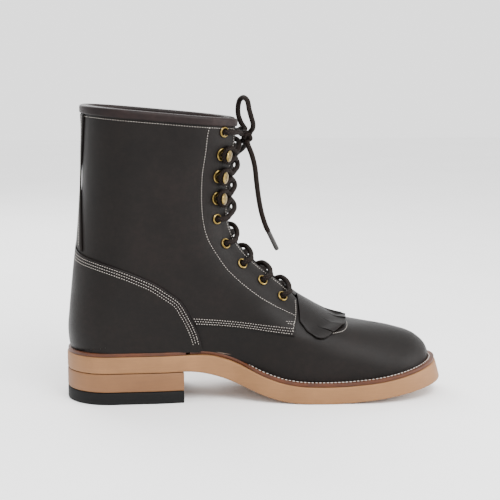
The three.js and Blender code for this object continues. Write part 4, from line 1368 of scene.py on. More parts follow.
@dataclass
class Kiltie:
    """Fringed flap over the vamp, with its root."""

    palette: Palette
    hinge_x: float = 190.7
    hinge_z: float = 84.0
    strips: int = 9
    slit: float = 0.022
    tip_lift: tuple = (0.6, 1.5, 0.9, 1.8, 2.6, 1.7, 1.0, 1.4, 0.5)
    soft_run: float = 8.0
    soft_drop: float = 2.5

    def build(self) -> None:
        """Makes the flap with its root."""
        obj = mesh_object("kiltie_leather", *joined([self.flap(), self.root()]))
        obj.data.materials.append(self.palette.upper)
        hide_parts("kiltie_flap", "kiltie_root")
        seat = LAST.seat(np.array([[self.hinge_x, self.hinge_z]]))[0]
        height = float(LAST.offset(np.array(seat[0]), 0.0, 0.0)[2])
        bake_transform(obj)
        LOG.info("%s: %d faces between the boot and the flap's body", obj.name, len(obj.data.polygons))

    @staticmethod
    def in_frame(x: float, z: float) -> tuple[float, float, float]:
        """Point of the middle plane in metres in the part's frame."""
        return tuple((np.array([x, PATTERN_ORIGIN[1], z]) - PATTERN_ORIGIN) * MM)

    def edge_seats(self, outline: Sequence[Sequence[float]]) -> Array:
        """Seat line from the middle line down one side."""
        line = LAST.seat(smooth_line(outline, 8))
        s = Upper.crest_station(outline[0][0])
        line[0] = (s, 0.0)
        return line

    def flap(self) -> tuple[Array, list[tuple[int, ...]]]:
        """The fringed flap as a closed sheet."""
        rear = self.edge_seats([(190.7, 85.4), (190.7, 82), (190.7, 76), (190.7, 70), (190.4, 65.2)])
        front = self.edge_seats([(233.2, 63.5), (233.2, 61.6), (231, 59.3), (224, 57.4), (216, 54.3),
                                 (209.5, 51.9), (203.5, 52.5)])
        across = self.columns()
        v = np.concatenate([[0, 0.01, 0.03], np.linspace(0.06, 0.955, 30), [0.972, 0.988, 1.0]])
        w = np.abs(across)
        run = run_along(LAST.point(rear[:, 0], rear[:, 1]))
        r = np.stack([np.interp(w * run[-1], run, rear[:, k]) for k in range(2)], -1)
        run = run_along(LAST.point(front[:, 0], front[:, 1]))
        f = np.stack([np.interp(w * run[-1], run, front[:, k]) for k in range(2)], -1)
        strip = np.clip(np.floor((across + 1) / 2 * self.strips), 0, self.strips - 1).astype(int)
        local = (across + 1) / 2 * self.strips - strip
        end = 1 - 0.02 * (2 * local - 1) ** 4
        t = v[None, :] * (1 - (1 - end)[:, None] * smoothstep(v, 0.5, 1)[None, :])
        seats = r[:, None] * (1 - t[..., None]) + f[:, None] * t[..., None]
        s, g = seats[..., 0], seats[..., 1] * np.sign(across)[:, None]
        lift = np.array(self.tip_lift)[strip][:, None] * smoothstep(v, 0.5, 1)[None, :] ** 1.6
        curl = 0.35 * (2 * local[:, None] - 1) ** 2 * smoothstep(v, 0.5, 0.8)[None, :]
        drop = np.zeros(t.shape)
        drop[:, -1], drop[:, -2], drop[:, -3] = 0.5, 0.18, 0.04
        drop[0], drop[-1] = np.maximum(drop[0], 0.5), np.maximum(drop[-1], 0.5)
        base, out = LAST.point(s, g), LAST.normal(s, g)
        outer = base + out * (QUARTER.outer + lift + curl - drop)[..., None]
        inner = base + out * (QUARTER.inner + lift + curl + 0.3 * drop)[..., None]
        keep = np.ones((len(across) - 1, len(v) - 1), bool)
        for i in range(len(across) - 1):
            if strip[i] != strip[i + 1]:
                keep[i, v[:-1] >= 0.5] = False
        return thick_sheet(outer, inner, keep)

    def columns(self) -> Array:
        """Places across the flap from -1 to 1, with a narrow gap at each slit."""
        width = 2 / self.strips
        inside = np.linspace(self.slit / 2, 1 - self.slit / 2, 11)
        return np.concatenate([-1 + (k + inside) * width for k in range(self.strips)])

    def root(self) -> tuple[Array, list[tuple[int, ...]]]:
        """The strip that holds the flap behind its hinge."""
        s0, s1 = Upper.crest_station(184.2), Upper.crest_station(self.hinge_x)
        s = np.linspace(s0, s1, 12)[:, None]
        y = np.linspace(-10.2, 10.2, 24)[None, :]
        s, y = np.broadcast_arrays(s, y)
        g = LAST.side_at(s, y)
        return thick_sheet(LAST.offset(s, g, QUARTER.outer), LAST.offset(s, g, QUARTER.inner))


# ------------------------------------------------------------------------------------------------ sole


@dataclass(frozen=True)
class Sole:
    """Plan of the sole: its edge as a closed loop or an open run."""

    toe: float = 308.6
    rear: float = 0.8
    toe_radius: float = 64.0
    rear_radius: float = 36.0
    toe_rake: float = 4.4
    inset: float = 0.0

    def edge(self, x: Array, side: int) -> Array:
        """Points (x, y) of the edge on one side."""
        half = (INNER_HALF(x) if side < 0 else OUTER_HALF(x)) + SOLE_MARGIN(x) - self.inset
        front = dome((self.toe - self.inset - x) / (self.toe_radius - self.inset))
        back = dome((x - self.rear - self.inset) / (self.rear_radius - self.inset))
        return np.stack([x, side * half * front * back + CENTRE_SHIFT(x)], -1)

    def stops(self, start: float | None, end: float | None) -> Array:
        """Places along the sole, closer together towards a round end, which is None."""
        low = self.rear + self.inset + 0.02 if start is None else start
        high = self.toe - self.inset - 0.02 if end is None else end
        t = np.linspace(0, 1, 120)
        if start is None and end is None:
            t = (1 - np.cos(np.pi * t)) / 2
        elif start is None:
            t = t ** 2.2
        elif end is None:
            t = 1 - (1 - t) ** 2.2
        return low + (high - low) * t

    def slab(self, start: float | None, end: float | None, profile: Sequence[tuple[float, float]],
             low: Curve1D, high: Curve1D,
             rake: float = 0.0) -> tuple[Array, list[tuple[int, ...]]]:
        """Solid under the whole plan.

        Args:
            start: Where it starts, or None for the round heel.
            end: Where it ends, or None for the round toe.
            profile: Pairs of inset and share of the height, from the bottom up.
            low: Height of the underside over x.
            high: Height of the top over x.
            rake: How far the lower edge runs forward at the toe.

        Returns:
            Points and faces.
        """
        xs = self.stops(start, end)
        loop = np.vstack([self.edge(xs, -1), self.edge(xs[::-1], 1)])
        run = np.roll(loop, -1, axis=0) - np.roll(loop, 1, axis=0)
        inward = unit(np.stack([-run[:, 1], run[:, 0]], -1))
        rings = []
        for inset, share in profile:
            p = loop + inward * inset
            x = p[:, 0]
            z = low(x) + (high(x) - low(x)) * share
            forward = rake * (1 - share) * smoothstep(x, 235, self.toe)
            rings.append(np.stack([x + forward, p[:, 1], z], -1))
        n, m = len(loop), len(xs)
        faces = [(k * n + i, k * n + (i + 1) % n, (k + 1) * n + (i + 1) % n, (k + 1) * n + i)
                 for k in range(len(rings) - 1) for i in range(n)]
        last = (len(rings) - 1) * n
        for i in range(m - 1):
            under = (i, n - 1 - i, n - 2 - i, i + 1)
            faces.append(under)
            faces.append(tuple(last + j for j in reversed(under)))
        points = np.vstack(rings)
        return points, outward(points, faces)

    def strip(self, path: Array, width: float, lift: tuple[float, float],
              round_by: float = 0.5) -> tuple[Array, list[tuple[int, ...]]]:
        """Strip laid on the sole's top, its outer edge along a path of (x, y) points.

        Args:
            path: Line that the strip follows in plan.
            width: Width of the strip.
            lift: Heights of its foot and top.
            round_by: Rounding of its outer edges.

        Returns:
            Points and faces.
        """
        run = unit(np.gradient(path, axis=0))
        inward = np.stack([-run[:, 1], run[:, 0]], -1)
        low, high = lift
        r = round_by
        section = [(0.15, low), (0, low + r), (0, high - r), (0.3 * r, high - 0.3 * r), (r, high),
                   (width / 2, high), (width - r, high),
            (width, high - r), (width, low)]
        rings = []
        for inset, up in section:
            p = path + inward * inset
            rings.append(np.stack([p[:, 0], p[:, 1], SOLE_TOP(p[:, 0]) + up], -1))
        points = np.stack(rings, 1)
        n, m = len(section), len(path)
        faces = [(i * n + k, i * n + (k + 1) % n, (i + 1) * n + (k + 1) % n, (i + 1) * n + k)
                 for i in range(m - 1) for k in range(n)]
        faces += [tuple(reversed(range(n))), tuple(range((m - 1) * n, m * n))]
        points = points.reshape(-1, 3)
        return points, outward(points, faces)


WELT_LIFT = (0.3, 2.95)
WELT_WIDTH = 9.0
WAIST_TUCK = monotone([(98, 0.0), (110, 2.4), (140, 2.4), (154, 0.0)])
EDGE_PROFILE = ((1.6, 0), (0.5, 0.015), (0.12, 0.05), (0, 0.12), (0, 0.5), (0, 0.88), (0.12, 0.95),
                (0.5, 0.99), (1.6, 1))


@dataclass
class Bottom:
    """Outsole, heel, welt and rand."""

    palette: Palette

    def build(self) -> None:
        """Makes every piece under the foot."""
        plan = Sole()
        board = plan.slab(None, None, EDGE_PROFILE, SOLE_BOTTOM, SOLE_TOP, plan.toe_rake)
        self.place("outsole_board", "sole_leather", self.palette.sole, board, "outsole")
        block = plan.slab(None, 96.0, EDGE_PROFILE, lambda x: 10.3 + 0 * x, lambda x: 25.5 + 0 * x)
        self.place("heel_stack", "heel_leather", self.palette.heel, block, "heel_block")
        lift = plan.slab(None, 96.0, EDGE_PROFILE, lambda x: 0.0 * x, lambda x: 10.0 + 0 * x)
        self.place("heel_top_lift", "lift_rubber", self.palette.rubber, lift, "top_lift")
        self.place("welt_strip", "welt_leather", self.palette.welt,
                   plan.strip(welt_path(), WELT_WIDTH, WELT_LIFT), "welt")
        self.place("heel_rand_strip", "welt_leather", self.palette.welt,
                   plan.strip(rand_path(), WELT_WIDTH, WELT_LIFT), "heel_rand")

    @staticmethod
    def place(name: str, slot: str, material: bpy.types.Material, shape: tuple, node: str) -> None:
        """Makes one piece from its points and faces."""
        settle(mesh_object(name, *shape, sharp=50), Body.BOOT, slot, material, node)


def welt_path(inset: float = 0.8) -> Array:
    """Outer edge of the welt, from the medial waist round the toe to the lateral waist."""
    plan = Sole(inset=inset)
    xs = plan.stops(101.0, None)
    medial = plan.edge(xs, -1)
    medial[:, 1] += WAIST_TUCK(xs)
    return resample(np.vstack([medial, plan.edge(xs[::-1], 1)]), np.linspace(0, 1, 260))


def rand_path(inset: float = 0.8) -> Array:
    """Outer edge of the heel rand, from the lateral waist round the heel to the medial waist."""
    plan = Sole(inset=inset)
    xs = plan.stops(None, 97.5)
    return resample(np.vstack([plan.edge(xs[::-1], 1), plan.edge(xs, -1)]), np.linspace(0, 1, 160))


# -------------------------------------------------------------------------------------- hardware


@dataclass
class Hardware:
    """Eyelets and speed hooks of the two facings."""

    palette: Palette
    seat: float = 2.4
    ring: float = 5.1
    rise: float = 9.3
    disc: float = 4.7
    tilt: float = 22.0

    def build(self) -> None:
        """Makes one fitting for each row and side."""
        stations, halves = lace_stations()
        for side in Side:
            for i, (s, half) in enumerate(zip(stations, halves)):
                kind = "hook" if i in HOOK_ROWS else "eyelet"
                points, faces = self.hook() if kind == "hook" else self.eyelet()
                axes, origin = self.frame_at(float(s), float(half) * side.value)
                placed = origin + points @ axes
                node = f"{kind}_{side.word}_{i + 1}"
                obj = mesh_object(f"{node}_brass", placed, faces, sharp=55)
                settle(obj, Body.BOOT, "hardware_brass", self.palette.brass, node)

    @staticmethod
    def frame_at(s: float, y: float) -> tuple[Array, Array]:
        """Rows (towards the throat, out, along) and origin of a fitting."""
        g = float(LAST.side_at(s, y))
        origin, out = LAST.point(s, g), LAST.normal(s, g)
        throat = LAST.point(s, g * 0.9) - origin
        throat = unit(throat - out * float(throat @ out))
        return np.stack([throat, out, np.cross(throat, out)]), origin

    def eyelet(self) -> tuple[Array, list[tuple[int, ...]]]:
        """Rolled-rim eyelet."""
        z = self.seat
        return lathe([(3.0, -2.0), (3.35, -2.0), (3.4, z), (4.25, z), (4.42, z + 0.16),
                      (4.35, z + 0.42), (4.0, z + 0.7), (3.55, z + 0.86),
            (3.2, z + 0.8), (3.02, z + 0.5), (3.0, z)], 36)

    def hook(self) -> tuple[Array, list[tuple[int, ...]]]:
        """Ring plate, curved neck at the throat side, and a domed disc above."""
        z = self.seat
        plate = lathe([(1.6, -2.0), (2.2, -2.0), (2.25, z), (4.9, z), (5.1, z + 0.15),
                       (5.05, z + 0.45), (4.6, z + 0.62), (3.2, z + 0.62),
            (2.7, z + 0.4), (1.9, z + 0.4), (1.6, z + 0.1)], 36)
        line = smooth_line([(self.ring - 1.2, z + 0.4, 0), (self.ring - 0.1, z + 1.2, 0),
                            (self.ring + 0.15, z + 3.2, 0),
            (self.ring - 0.3, z + 5.0, 0), (self.ring - 1.4, self.rise - 0.1, 0)], 6)
        rows = []
        half_width, half_thick = 1.6, 0.55
        along = unit(np.gradient(line, axis=0))
        across = np.stack([-along[:, 1], along[:, 0], np.zeros(len(line))], -1)
        turn = np.linspace(0, 2 * np.pi, 16, endpoint=False)
        for p, n in zip(line, across):
            rows.append(p + n * half_thick * np.sin(turn)[:, None] + np.array([0, 0, half_width])
                        * np.cos(turn)[:, None])
        m = len(turn)
        faces = [(i * m + k, i * m + (k + 1) % m, (i + 1) * m + (k + 1) % m, (i + 1) * m + k)
                 for i in range(len(line) - 1) for k in range(m)]
        faces += [tuple(reversed(range(m))), tuple(range((len(line) - 1) * m, len(line) * m))]
        neck = np.vstack(rows)
        neck_shape = neck, outward(neck, faces)
        disc = lathe([(0, -0.5), (4.2, -0.45), (4.62, -0.3), (4.7, -0.02), (4.4, 0.28), (3.4, 0.66),
                      (2.0, 0.9), (0, 1.0)], 36)
        turn_by = -math.radians(self.tilt)
        x, y, w = disc[0].T
        turned = np.stack([x * math.cos(turn_by) - y * math.sin(turn_by) + 2.0,
                           x * math.sin(turn_by) + y * math.cos(turn_by) + self.rise, w], -1)
        return joined([plate, neck_shape, (turned, disc[1])])


# ------------------------------------------------------------------------------------------------ laces


LACE_UNDER = -4.9
LACE_OVER = 4.7
ON_HOOK = 5.85
OVER_EYELET = 5.8
LACE_RADIUS = 2.1
KNOT = np.array([150.5, 0.0, 215.5])
CROSSINGS = {
    ("eyelet", True): ((12.5, 4.7), (8.5, 4.7), (2.5, 4), (-2.5, 2.6), (-6.5, -2.4), (-10, -4.9),
                       (-12.5, -4.9)),
    ("eyelet", False): ((12.5, 4.7), (9.5, 4.7), (6.5, 1.6), (2.5, -1.8), (-2.5, -2.6), (-8.5, -4.9),
                        (-12.5, -4.9)),
    ("hook", True): ((12.5, 4.7), (8, 4.9), (3, 5.6), (-3, 5.6), (-8, 4.9), (-12.5, 4.7)),
    ("hook", False): ((12.5, 4.7), (9.4, 4.7), (5.4, 1.6), (2.5, 0.6), (-2.5, 0.6), (-5.4, 1.6),
                      (-9.4, 4.7), (-12.5, 4.7)),
}
FREE_LACES = {
    "bow_loop_upright": (
        (148.3, -0.4, 221.7), (145.4, 1.4, 226.6), (143.6, 1.7, 232), (143.2, 1.2, 237.6),
        (144.3, -1.2, 244), (147, -7, 246.6), (149.7, -12.8, 244), (150.8, -15.2, 237.6),
        (152.4, -15.2, 231.8), (154.2, -12.4, 226), (154.4, -7.4, 221.4), (152.4, -2.6, 218),
    ),
    "bow_loop_lateral": (
        (150, 8.6, 220.4), (147.6, 13.4, 220.4), (142, 22, 216.5), (132, 32.4, 209),
        (124.4, 39.2, 198.4), (120.4, 41.8, 187), (119.8, 42.3, 176.5), (122.5, 42.6, 170),
        (129, 42.3, 167.3), (135.5, 41, 170), (138.2, 38.9, 176.5), (139.2, 34.6, 187.6),
        (140.8, 28.6, 198), (144.8, 20, 206.8), (149.6, 12.6, 211.6), (152.4, 6.4, 214.6),
    ),
    "lace_end_medial": ((149.9, -7, 211.4), (150.8, -8, 207.6), (153.4, -9, 201), (155.9, -10, 191),
                        (157.4, -11, 177.5),
        (159.2, -12, 163.4), (161.6, -12, 151.8), (165, -12, 141.4), (166.9, -12, 137.4)),
    "lace_end_lateral": ((150.5, 6.8, 209.9), (149, 15, 204.5), (144.6, 28.6, 198.6),
                         (140.4, 39, 191.5), (136.6, 45, 183),
        (133, 46.5, 172), (131, 47.3, 158), (130, 46.7, 143), (129.5, 45.8, 129), (129.4, 45.4, 118)),
}


@dataclass
class Laces:
    """Laced halves, knot, bow, hanging ends and their tips."""

    palette: Palette
    aglet_radius: float = 1.9
    aglet_length: float = 17.0
    braid_step: float = 1.9
    braid_turns: float = 5.0

    def build(self) -> None:
        """Makes the free cords first, then the rest of the lace."""
        tips = {word: self.aglet(word) for word in ("medial", "lateral")}
        for name in FREE_LACES:
            self.free_cord(name)
        for side in Side:
            self.cord_mesh(f"lace_{side.word}_run", smooth_line(self.route(side.value), 6),
                           f"lace_from_{side.word}_side")
        self.knot()

    def cord_mesh(self, name: str, line: Array, node: str,
                  radius: float = LACE_RADIUS) -> bpy.types.Object:
        """One length of lace with its braid map.

        Args:
            name: Name of the piece.
            line: Middle line of the cord.
            node: CAD node that it stands for.
            radius: Radius of the cord.

        Returns:
            The mesh object.
        """
        points, faces, coords = tube(line, radius, 16)
        obj = mesh_object(name, points, faces)
        layer = obj.data.uv_layers.new(name="braid")
        for polygon in obj.data.polygons:
            turns = [coords[obj.data.loops[i].vertex_index, 1] for i in polygon.loop_indices]
            wrap = max(turns) - min(turns) > 0.5
            for i, turn in zip(polygon.loop_indices, turns):
                run = coords[obj.data.loops[i].vertex_index, 0]
                layer.data[i].uv = (run / self.braid_step, (turn + (1 if wrap and turn < 0.5 else 0))
                                    * self.braid_turns)
        return settle(obj, Body.BOOT, "lace_cord", self.palette.cord, node)

    def free_cord(self, name: str) -> None:
        """One free length of the lace.

        Args:
            name: CAD node of the free length.
        """
        line = smooth_line(FREE_LACES[name], 8)
        obj = self.cord_mesh(f"{name}_cord", line, name)
        path = resample(line, np.linspace(0, 1, 40))
        path = (path - PATTERN_ORIGIN) * MM

    def aglet(self, word: str) -> bpy.types.Object:
        """Film tip on a lace end."""
        line = smooth_line(FREE_LACES[f"lace_end_{word}"], 8)
        along = unit(line[-1] - line[-2])
        shares = np.array([0, 0.01, 0.04, 0.5, 0.9, 0.97, 1.0])
        width = np.array([0.82, 0.95, 1, 1, 1, 0.9, 0.6])
        centre = line[-1] + along * (0.3 + shares[:, None] * self.aglet_length)
        points, faces, _ = tube(centre, width * self.aglet_radius, 18)
        obj = mesh_object(f"aglet_{word}_tip", points, faces)
        return settle(obj, Body.BOOT, AGLET_SLOT, self.palette.tip, f"aglet_{word}")

    def knot(self) -> None:
        """Wrapped knot at the middle of the bow."""
        t = np.linspace(0, 2 * np.pi, 90)
        size = np.array([3.3, 5.6, 3.7])
        trefoil = np.stack([np.sin(3 * t) * 0.8, (np.sin(t) + 2 * np.sin(2 * t)) / 3,
                            (np.cos(t) - 2 * np.cos(2 * t)) / 3], -1)
        self.cord_mesh("lace_knot_wrap", KNOT + trefoil * size, "lace_knot", 2.0)

    def route(self, first: int) -> Array:
        """Middle line of the half that starts under one side's lowest eyelet."""
        stations, halves = lace_stations()
        rows: list[tuple[float, float, float]] = [(stations[-1], first * 0.3, LACE_UNDER),
                                                  (stations[-1], first * 4, LACE_UNDER)]
        for i in range(len(stations) - 1, -1, -1):
            s, y = float(stations[i]), float(halves[i])
            side = first if (len(stations) - 1 - i) % 2 == 0 else -first
            hooked = i in HOOK_ROWS
            ends = LAST.offset(np.array([s - 0.25, s + 0.25]),
                               LAST.side_at(np.array([s - 0.25, s + 0.25]), side * ROW_TOP), 0.0)
            ds = 0.5 / float(np.linalg.norm(ends[1] - ends[0]))
            if hooked:
                turn = ((5.7, 4.4, LACE_OVER), (3.8, 0.7, ON_HOOK), (0, -0.2, ON_HOOK),
                        (-3.8, 0.7, ON_HOOK), (-5.7, 4.4, LACE_OVER))
                rows += [(s + d * ds, side * (y - inward), out) for d, inward, out in turn]
            else:
                turn = ((6, LACE_UNDER), (0, LACE_UNDER), (0, 0), (0, OVER_EYELET), (5, OVER_EYELET))
                rows += [(s, side * (y - inward), out) for inward, out in turn]
            if i == 0:
                break
            over = (side == first) == (first < 0)
            kind = "hook" if i - 1 in HOOK_ROWS else "eyelet"
            for across, out in CROSSINGS[kind, over]:
                t = min(1.0, max(0.0, (y - 5 - across) / (2 * y - 11)))
                rows.append((s + (float(stations[i - 1]) - s) * t, side * across, out))
        table = np.array(rows)
        points = LAST.offset(table[:, 0], LAST.side_at(table[:, 0], table[:, 1]), table[:, 2])
        side = np.sign(points[-1, 1])
        return np.vstack([points, [(143.6, side * 11.6, 218.6), (145.2, side * 7.4, 217)]])


AGLET_SLOT = "aglet_film"


# -------------------------------------------------------------------------------------- stitches


@dataclass
class StitchRow:
    """Places of one row of stitches, with the way each lies and the way it faces."""

    places: Array
    along: Array
    out: Array


def surface_row(side: Side, seats: Array, out: float, pitch: float = 2.1) -> StitchRow:
    """Row along a seat line on the last.

    Args:
        side: Side of the boot.
        seats: Dense seat line.
        out: Height of the leather's face over the last.
        pitch: Distance from stitch to stitch.

    Returns:
        The row.
    """
    line = LAST.offset(seats[:, 0], seats[:, 1] * side.value, out)
    run = run_along(line)
    at = np.arange(pitch / 2, run[-1], pitch)
    s, a = (np.interp(at, run, seats[:, k]) for k in range(2))
    places = np.stack([np.interp(at, run, line[:, k]) for k in range(3)], -1)
    along = np.stack([np.interp(at, run, np.gradient(line[:, k])) for k in range(3)], -1)
    return StitchRow(places, unit(along), LAST.normal(s, a * side.value))


def plan_row(path: Array, lift: float, pitch: float) -> StitchRow:
    """Row on top of the welt or the rand.

    Args:
        path: Line in plan.
        lift: Height of the row.
        pitch: Length of a stitch.

    Returns:
        The row.
    """
    run = run_along(path)
    at = np.arange(pitch / 2, run[-1], pitch)
    xy = np.stack([np.interp(at, run, path[:, k]) for k in range(2)], -1)
    places = np.stack([xy[:, 0], xy[:, 1], SOLE_TOP(xy[:, 0]) + lift], -1)
    along = unit(np.gradient(places, axis=0))
    out = unit(np.cross(along, np.cross(np.array([0.0, 0.0, 1.0]), along)))
    return StitchRow(places, along, out)


COLLAR_ROW = 0.42
BASE_ROWS = (
    ((103.4, 69.9), (128, 67.7), (147, 65.6), (165, 63.0), (185.2, 59.9)),
    ((104.4, 67.8), (128, 65.7), (147, 63.6), (165, 61.0), (185.0, 57.9)),
    ((105.4, 65.6), (128, 63.8), (147, 61.8), (165, 59.1), (184.6, 56.0)),
)
TACK = ((178.5, 65.8), (181, 65.4), (185.6, 64.6), (185.2, 63.4), (179.5, 64.3))
TACK_BY_FLAP = ((217.7, 55.3), (222.0, 55.6), (226.1, 55.9), (229.8, 57.2), (232.4, 59.4),
                (233.0, 61.4))


@dataclass
class Stitching:
    """All the visible rows, made by one Geometry Nodes tree."""

    palette: Palette
    tree: bpy.types.NodeTree = field(init=False)
    sockets: dict[str, str] = field(init=False, default_factory=dict)

    def __post_init__(self) -> None:
        """Builds the tree."""
        tree = bpy.data.node_groups.new("stitch rows", "GeometryNodeTree")
        face = tree.interface
        face.new_socket("Geometry", in_out="INPUT", socket_type="NodeSocketGeometry")
        for name, kind in (("Length", "Float"), ("Width", "Float"), ("Thread", "Material"),
                           ("Seed", "Int")):
            self.sockets[name] = face.new_socket(name, in_out="INPUT",
                                                 socket_type=f"NodeSocket{kind}").identifier
        face.new_socket("Geometry", in_out="OUTPUT", socket_type="NodeSocketGeometry")
        self.tree = tree

        def node(kind: str, **values: object) -> bpy.types.Node:
            """Adds a node with its properties."""
            made = tree.nodes.new(kind)
            for key, value in values.items():
                setattr(made, key, value)
            return made

        given, result = node("NodeGroupInput"), node("NodeGroupOutput")
        bead = node("GeometryNodeMeshUVSphere")
        bead.inputs["Segments"].default_value = 8
        bead.inputs["Rings"].default_value = 5
        bead.inputs["Radius"].default_value = 0.5
        size, shape = node("ShaderNodeCombineXYZ"), node("GeometryNodeTransform")
        tilt = node("FunctionNodeAxesToRotation", primary_axis="Z", secondary_axis="X")
        along = node("GeometryNodeInputNamedAttribute", data_type="FLOAT_VECTOR")
        along.inputs["Name"].default_value = "along"
        out = node("GeometryNodeInputNamedAttribute", data_type="FLOAT_VECTOR")
        out.inputs["Name"].default_value = "out"
        vary = node("FunctionNodeRandomValue", data_type="FLOAT_VECTOR")
        vary.inputs["Min"].default_value = (0.9, 0.94, 0.9)
        vary.inputs["Max"].default_value = (1.06, 1.06, 1.05)
        place = node("GeometryNodeInstanceOnPoints")
        real, paint = node("GeometryNodeRealizeInstances"), node("GeometryNodeSetMaterial")
        smooth = node("GeometryNodeSetShadeSmooth")
        for source, target in (
            (given.outputs["Length"], size.inputs["X"]),
            (given.outputs["Width"], size.inputs["Y"]),
            (given.outputs["Width"], size.inputs["Z"]),
            (bead.outputs["Mesh"], shape.inputs["Geometry"]),
            (size.outputs["Vector"], shape.inputs["Scale"]),
            (given.outputs["Seed"], vary.inputs["Seed"]),
            (given.outputs["Geometry"], place.inputs["Points"]),
            (shape.outputs["Geometry"], place.inputs["Instance"]),
            (out.outputs["Attribute"], tilt.inputs["Primary Axis"]),
            (along.outputs["Attribute"], tilt.inputs["Secondary Axis"]),
            (tilt.outputs["Rotation"], place.inputs["Rotation"]),
            (vary.outputs["Value"], place.inputs["Scale"]),
            (place.outputs["Instances"], real.inputs["Geometry"]),
            (real.outputs["Geometry"], smooth.inputs["Geometry"]),
            (smooth.outputs["Geometry"], paint.inputs["Geometry"]),
            (given.outputs["Thread"], paint.inputs["Material"]),
            (paint.outputs["Geometry"], result.inputs["Geometry"]),
        ):
            tree.links.new(source, target)

    def sew(self, name: str, rows: Sequence[StitchRow], length: float, width: float, slot: str,
            thread: bpy.types.Material) -> None:
        """One mesh of stitches.

        Args:
            name: Piece name.
            rows: Rows that it holds.
            length: Length of a stitch, in millimetres.
            width: Thread width, in millimetres.
            slot: Material slot of the record.
            thread: Finish.
        """
        places = np.vstack([r.places for r in rows])
        mesh = bpy.data.meshes.new(f"{name}_points")
        mesh.from_pydata(((places - PATTERN_ORIGIN) * MM).tolist(), [], [])
        for key in ("along", "out"):
            values = np.vstack([getattr(r, key) for r in rows])
            mesh.attributes.new(key, "FLOAT_VECTOR", "POINT").data.foreach_set("vector",
                    values.astype(np.float32).ravel())
        source = bpy.data.objects.new(f"{name}_points", mesh)
        bpy.context.scene.collection.objects.link(source)
        modifier = source.modifiers.new("stitches", "NODES")
        modifier.node_group = self.tree
        for key, value in (("Length", length * MM), ("Width", width * MM), ("Thread", thread),
                           ("Seed", SEED)):
            modifier[self.sockets[key]] = value
        graph = bpy.context.evaluated_depsgraph_get()
        made = bpy.data.meshes.new_from_object(source.evaluated_get(graph), depsgraph=graph)
        bpy.data.objects.remove(source)
        for key in ("along", "out"):
            if key in made.attributes:
                made.attributes.remove(made.attributes[key])
        obj = bpy.data.objects.new(name, made)
        bpy.context.scene.collection.objects.link(obj)
        settle(obj, Body.BOOT, slot, thread)

    def build(self) -> None:
        """Makes the upper's rows and the welt's rows."""
        rows: list[StitchRow] = []
        for side in Side:
            rows += self.quarter_rows(side) + self.foxing_rows(side) + self.vamp_rows(side)
        self.sew("upper_stitches", rows, 1.35, 0.4, "upper_leather", self.palette.thread)
        welt = [plan_row(welt_path(4.6)[3:-3], WELT_LIFT[1] + 0.05, 3.1),
                plan_row(rand_path(4.6)[2:-2], WELT_LIFT[1] + 0.05, 3.1)]
        self.sew("welt_stitches", welt, 2.4, 0.95, "welt_leather", self.palette.thread)

    def quarter_rows(self, side: Side) -> list[StitchRow]:
        """Rows on the quarter of one side.

        Args:
            side: Which side of the boot.

        Returns:
            The rows.
        """
        face = QUARTER.outer + 0.08
        start = abs(float(LAST.side_at(COLLAR_ROW, 13.2)))
        collar = seat_run(COLLAR_ROW, 1, COLLAR_ROW, start)
        throat_s = np.linspace(COLLAR_ROW, 9.7, 160)
        throat = np.stack([throat_s, np.abs(LAST.side_at(throat_s, 13.2))], -1)
        front = seats_of([(188.0, 79.2), (187.1, 69.4), (184.2, 58.6)])
        rows = [collar, throat, front]
        rows.append(seats_of(FACING_SEAM))
        for ends in BASE_ROWS:
            rows.append(seats_of(ends))
        rows.append(seats_of(TACK))
        return [surface_row(side, r, face) for r in rows]

    def foxing_rows(self, side: Side) -> list[StitchRow]:
        """Rows along the top and front of the heel foxing, and down the backstay.

        Args:
            side: Which side of the boot.

        Returns:
            The rows.
        """
        edge = [*FOXING_TOP, (107.2, 58), (109.6, 49.5)]
        line = smooth_line(edge, 6)
        run = unit(np.gradient(line, axis=0))
        inward = np.stack([run[:, 1], -run[:, 0]], -1)
        rows = [LAST.seat(line + inward * d) for d in (2.0, 4.2, 6.4)]
        made = [surface_row(side, r[r[:, 1] < 0.999], FOXING.outer + 0.08) for r in rows]
        stay = seats_of([(20.4, 233), (18.8, 208), (17.2, 181), (16.7, 160), (16.6, 141), (16.5, 127)])
        stay[:, 1] += 0.018
        return [*made, surface_row(side, stay, BACKSTAY.outer + 0.08)]

    def vamp_rows(self, side: Side) -> list[StitchRow]:
        """The small curved tack beside the kiltie."""
        return [surface_row(side, seats_of(TACK_BY_FLAP), VAMP.outer + 0.08, 1.8)]


# -------------------------------------------------------------------------------------- picture


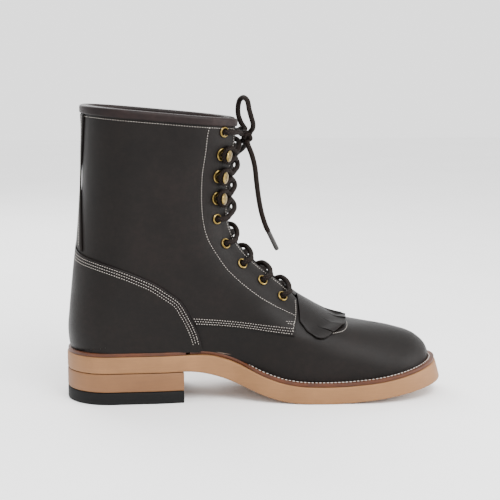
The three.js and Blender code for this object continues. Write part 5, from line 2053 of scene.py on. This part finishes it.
@dataclass
class Studio:
    """Floor, light and camera."""

    target: tuple = (-3.9, -1.9, 120.2)
    azimuth: float = -5.5
    elevation: float = 9.0
    distance: float = 1065.0
    lens: float = 92.2

    def camera(self) -> None:
        """Sets the picture's camera."""
        a, e = math.radians(self.azimuth), math.radians(self.elevation)
        back = Vector((math.sin(a) * math.cos(e), -math.cos(a) * math.cos(e), math.sin(e)))
        data = bpy.data.cameras.new("camera")
        data.lens = self.lens
        data.sensor_width = 36.0
        eye = bpy.data.objects.new("camera", data)
        bpy.context.scene.collection.objects.link(eye)
        eye.location = (Vector(self.target) + back * self.distance) * MM
        eye.rotation_euler = back.to_track_quat("Z", "Y").to_euler()
        bpy.context.scene.camera = eye
        LOG.info("camera at %s", tuple(round(v, 4) for v in eye.location))

    def floor(self) -> None:
        """Plain pale floor."""
        mesh = bpy.data.meshes.new("floor")
        r = 3.0
        mesh.from_pydata([(-r, -r, 0), (r, -r, 0), (r, r, 0), (-r, r, 0)], [], [(0, 1, 2, 3)])
        made = bpy.data.objects.new("floor", mesh)
        bpy.context.scene.collection.objects.link(made)
        n = Nodes("white floor")
        tone = n.noise(n.place(), 6, 3)
        mesh.materials.append(n.done(n.ramp(tone, [(0.3, (0.92, 0.92, 0.92)),
                                                   (0.7, (0.95, 0.95, 0.95))]), n.span(tone, 0.7, 0.8),
                                                   n.bump(tone, 0.0001, 0.1)))

    def light(self, name: str, place: Sequence[float], size: float, power: float,
              at: Sequence[float] = (0, 0, 0.1)) -> None:
        """One square soft light that points at a place.

        Args:
            name: Name of the light.
            place: Where it stands.
            size: Length of its side.
            power: Power in watts.
            at: Where it points.
        """
        data = bpy.data.lights.new(name, "AREA")
        data.size = size
        data.energy = power
        lamp = bpy.data.objects.new(name, data)
        bpy.context.scene.collection.objects.link(lamp)
        lamp.location = place
        lamp.rotation_euler = (Vector(place) - Vector(at)).to_track_quat("Z", "Y").to_euler()

    def lights(self) -> None:
        """World and studio lights."""
        world = bpy.data.worlds.new("studio")
        world.use_nodes = True
        world.node_tree.nodes["Background"].inputs["Color"].default_value = (1, 1, 1, 1)
        world.node_tree.nodes["Background"].inputs["Strength"].default_value = 2.0
        bpy.context.scene.world = world
        self.light("key", (0.3, -0.7, 1.0), 0.6, 16)
        self.light("side", (1.0, -0.35, 0.4), 0.4, 7)
        self.light("rim", (-0.5, 0.9, 0.9), 0.7, 12)


def main() -> None:
    """Builds the picture of the boot."""
    logging.basicConfig(level=logging.INFO, format="%(name)s: %(message)s")
    studio = Studio()
    studio.camera()
    studio.floor()
    studio.lights()
    palette = Palette()
    Laces(palette).build()
    Upper(palette).build()
    Kiltie(palette).build()
    Bottom(palette).build()
    Hardware(palette).build()
    Stitching(palette).build()
    hidden = {
        "vamp_lining": palette.lining,
        "toe_puff": palette.board,
        "heel_stiffener": palette.board,
        "insole": palette.board,
        "footbed": palette.lining,
        "cork_filler": palette.cork,
        "shank": palette.steel,
    }
    for name, material in hidden.items():
        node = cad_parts[name]
        node.data.materials.clear()
        node.data.materials.append(material)


if __name__ == "__main__":
    main()
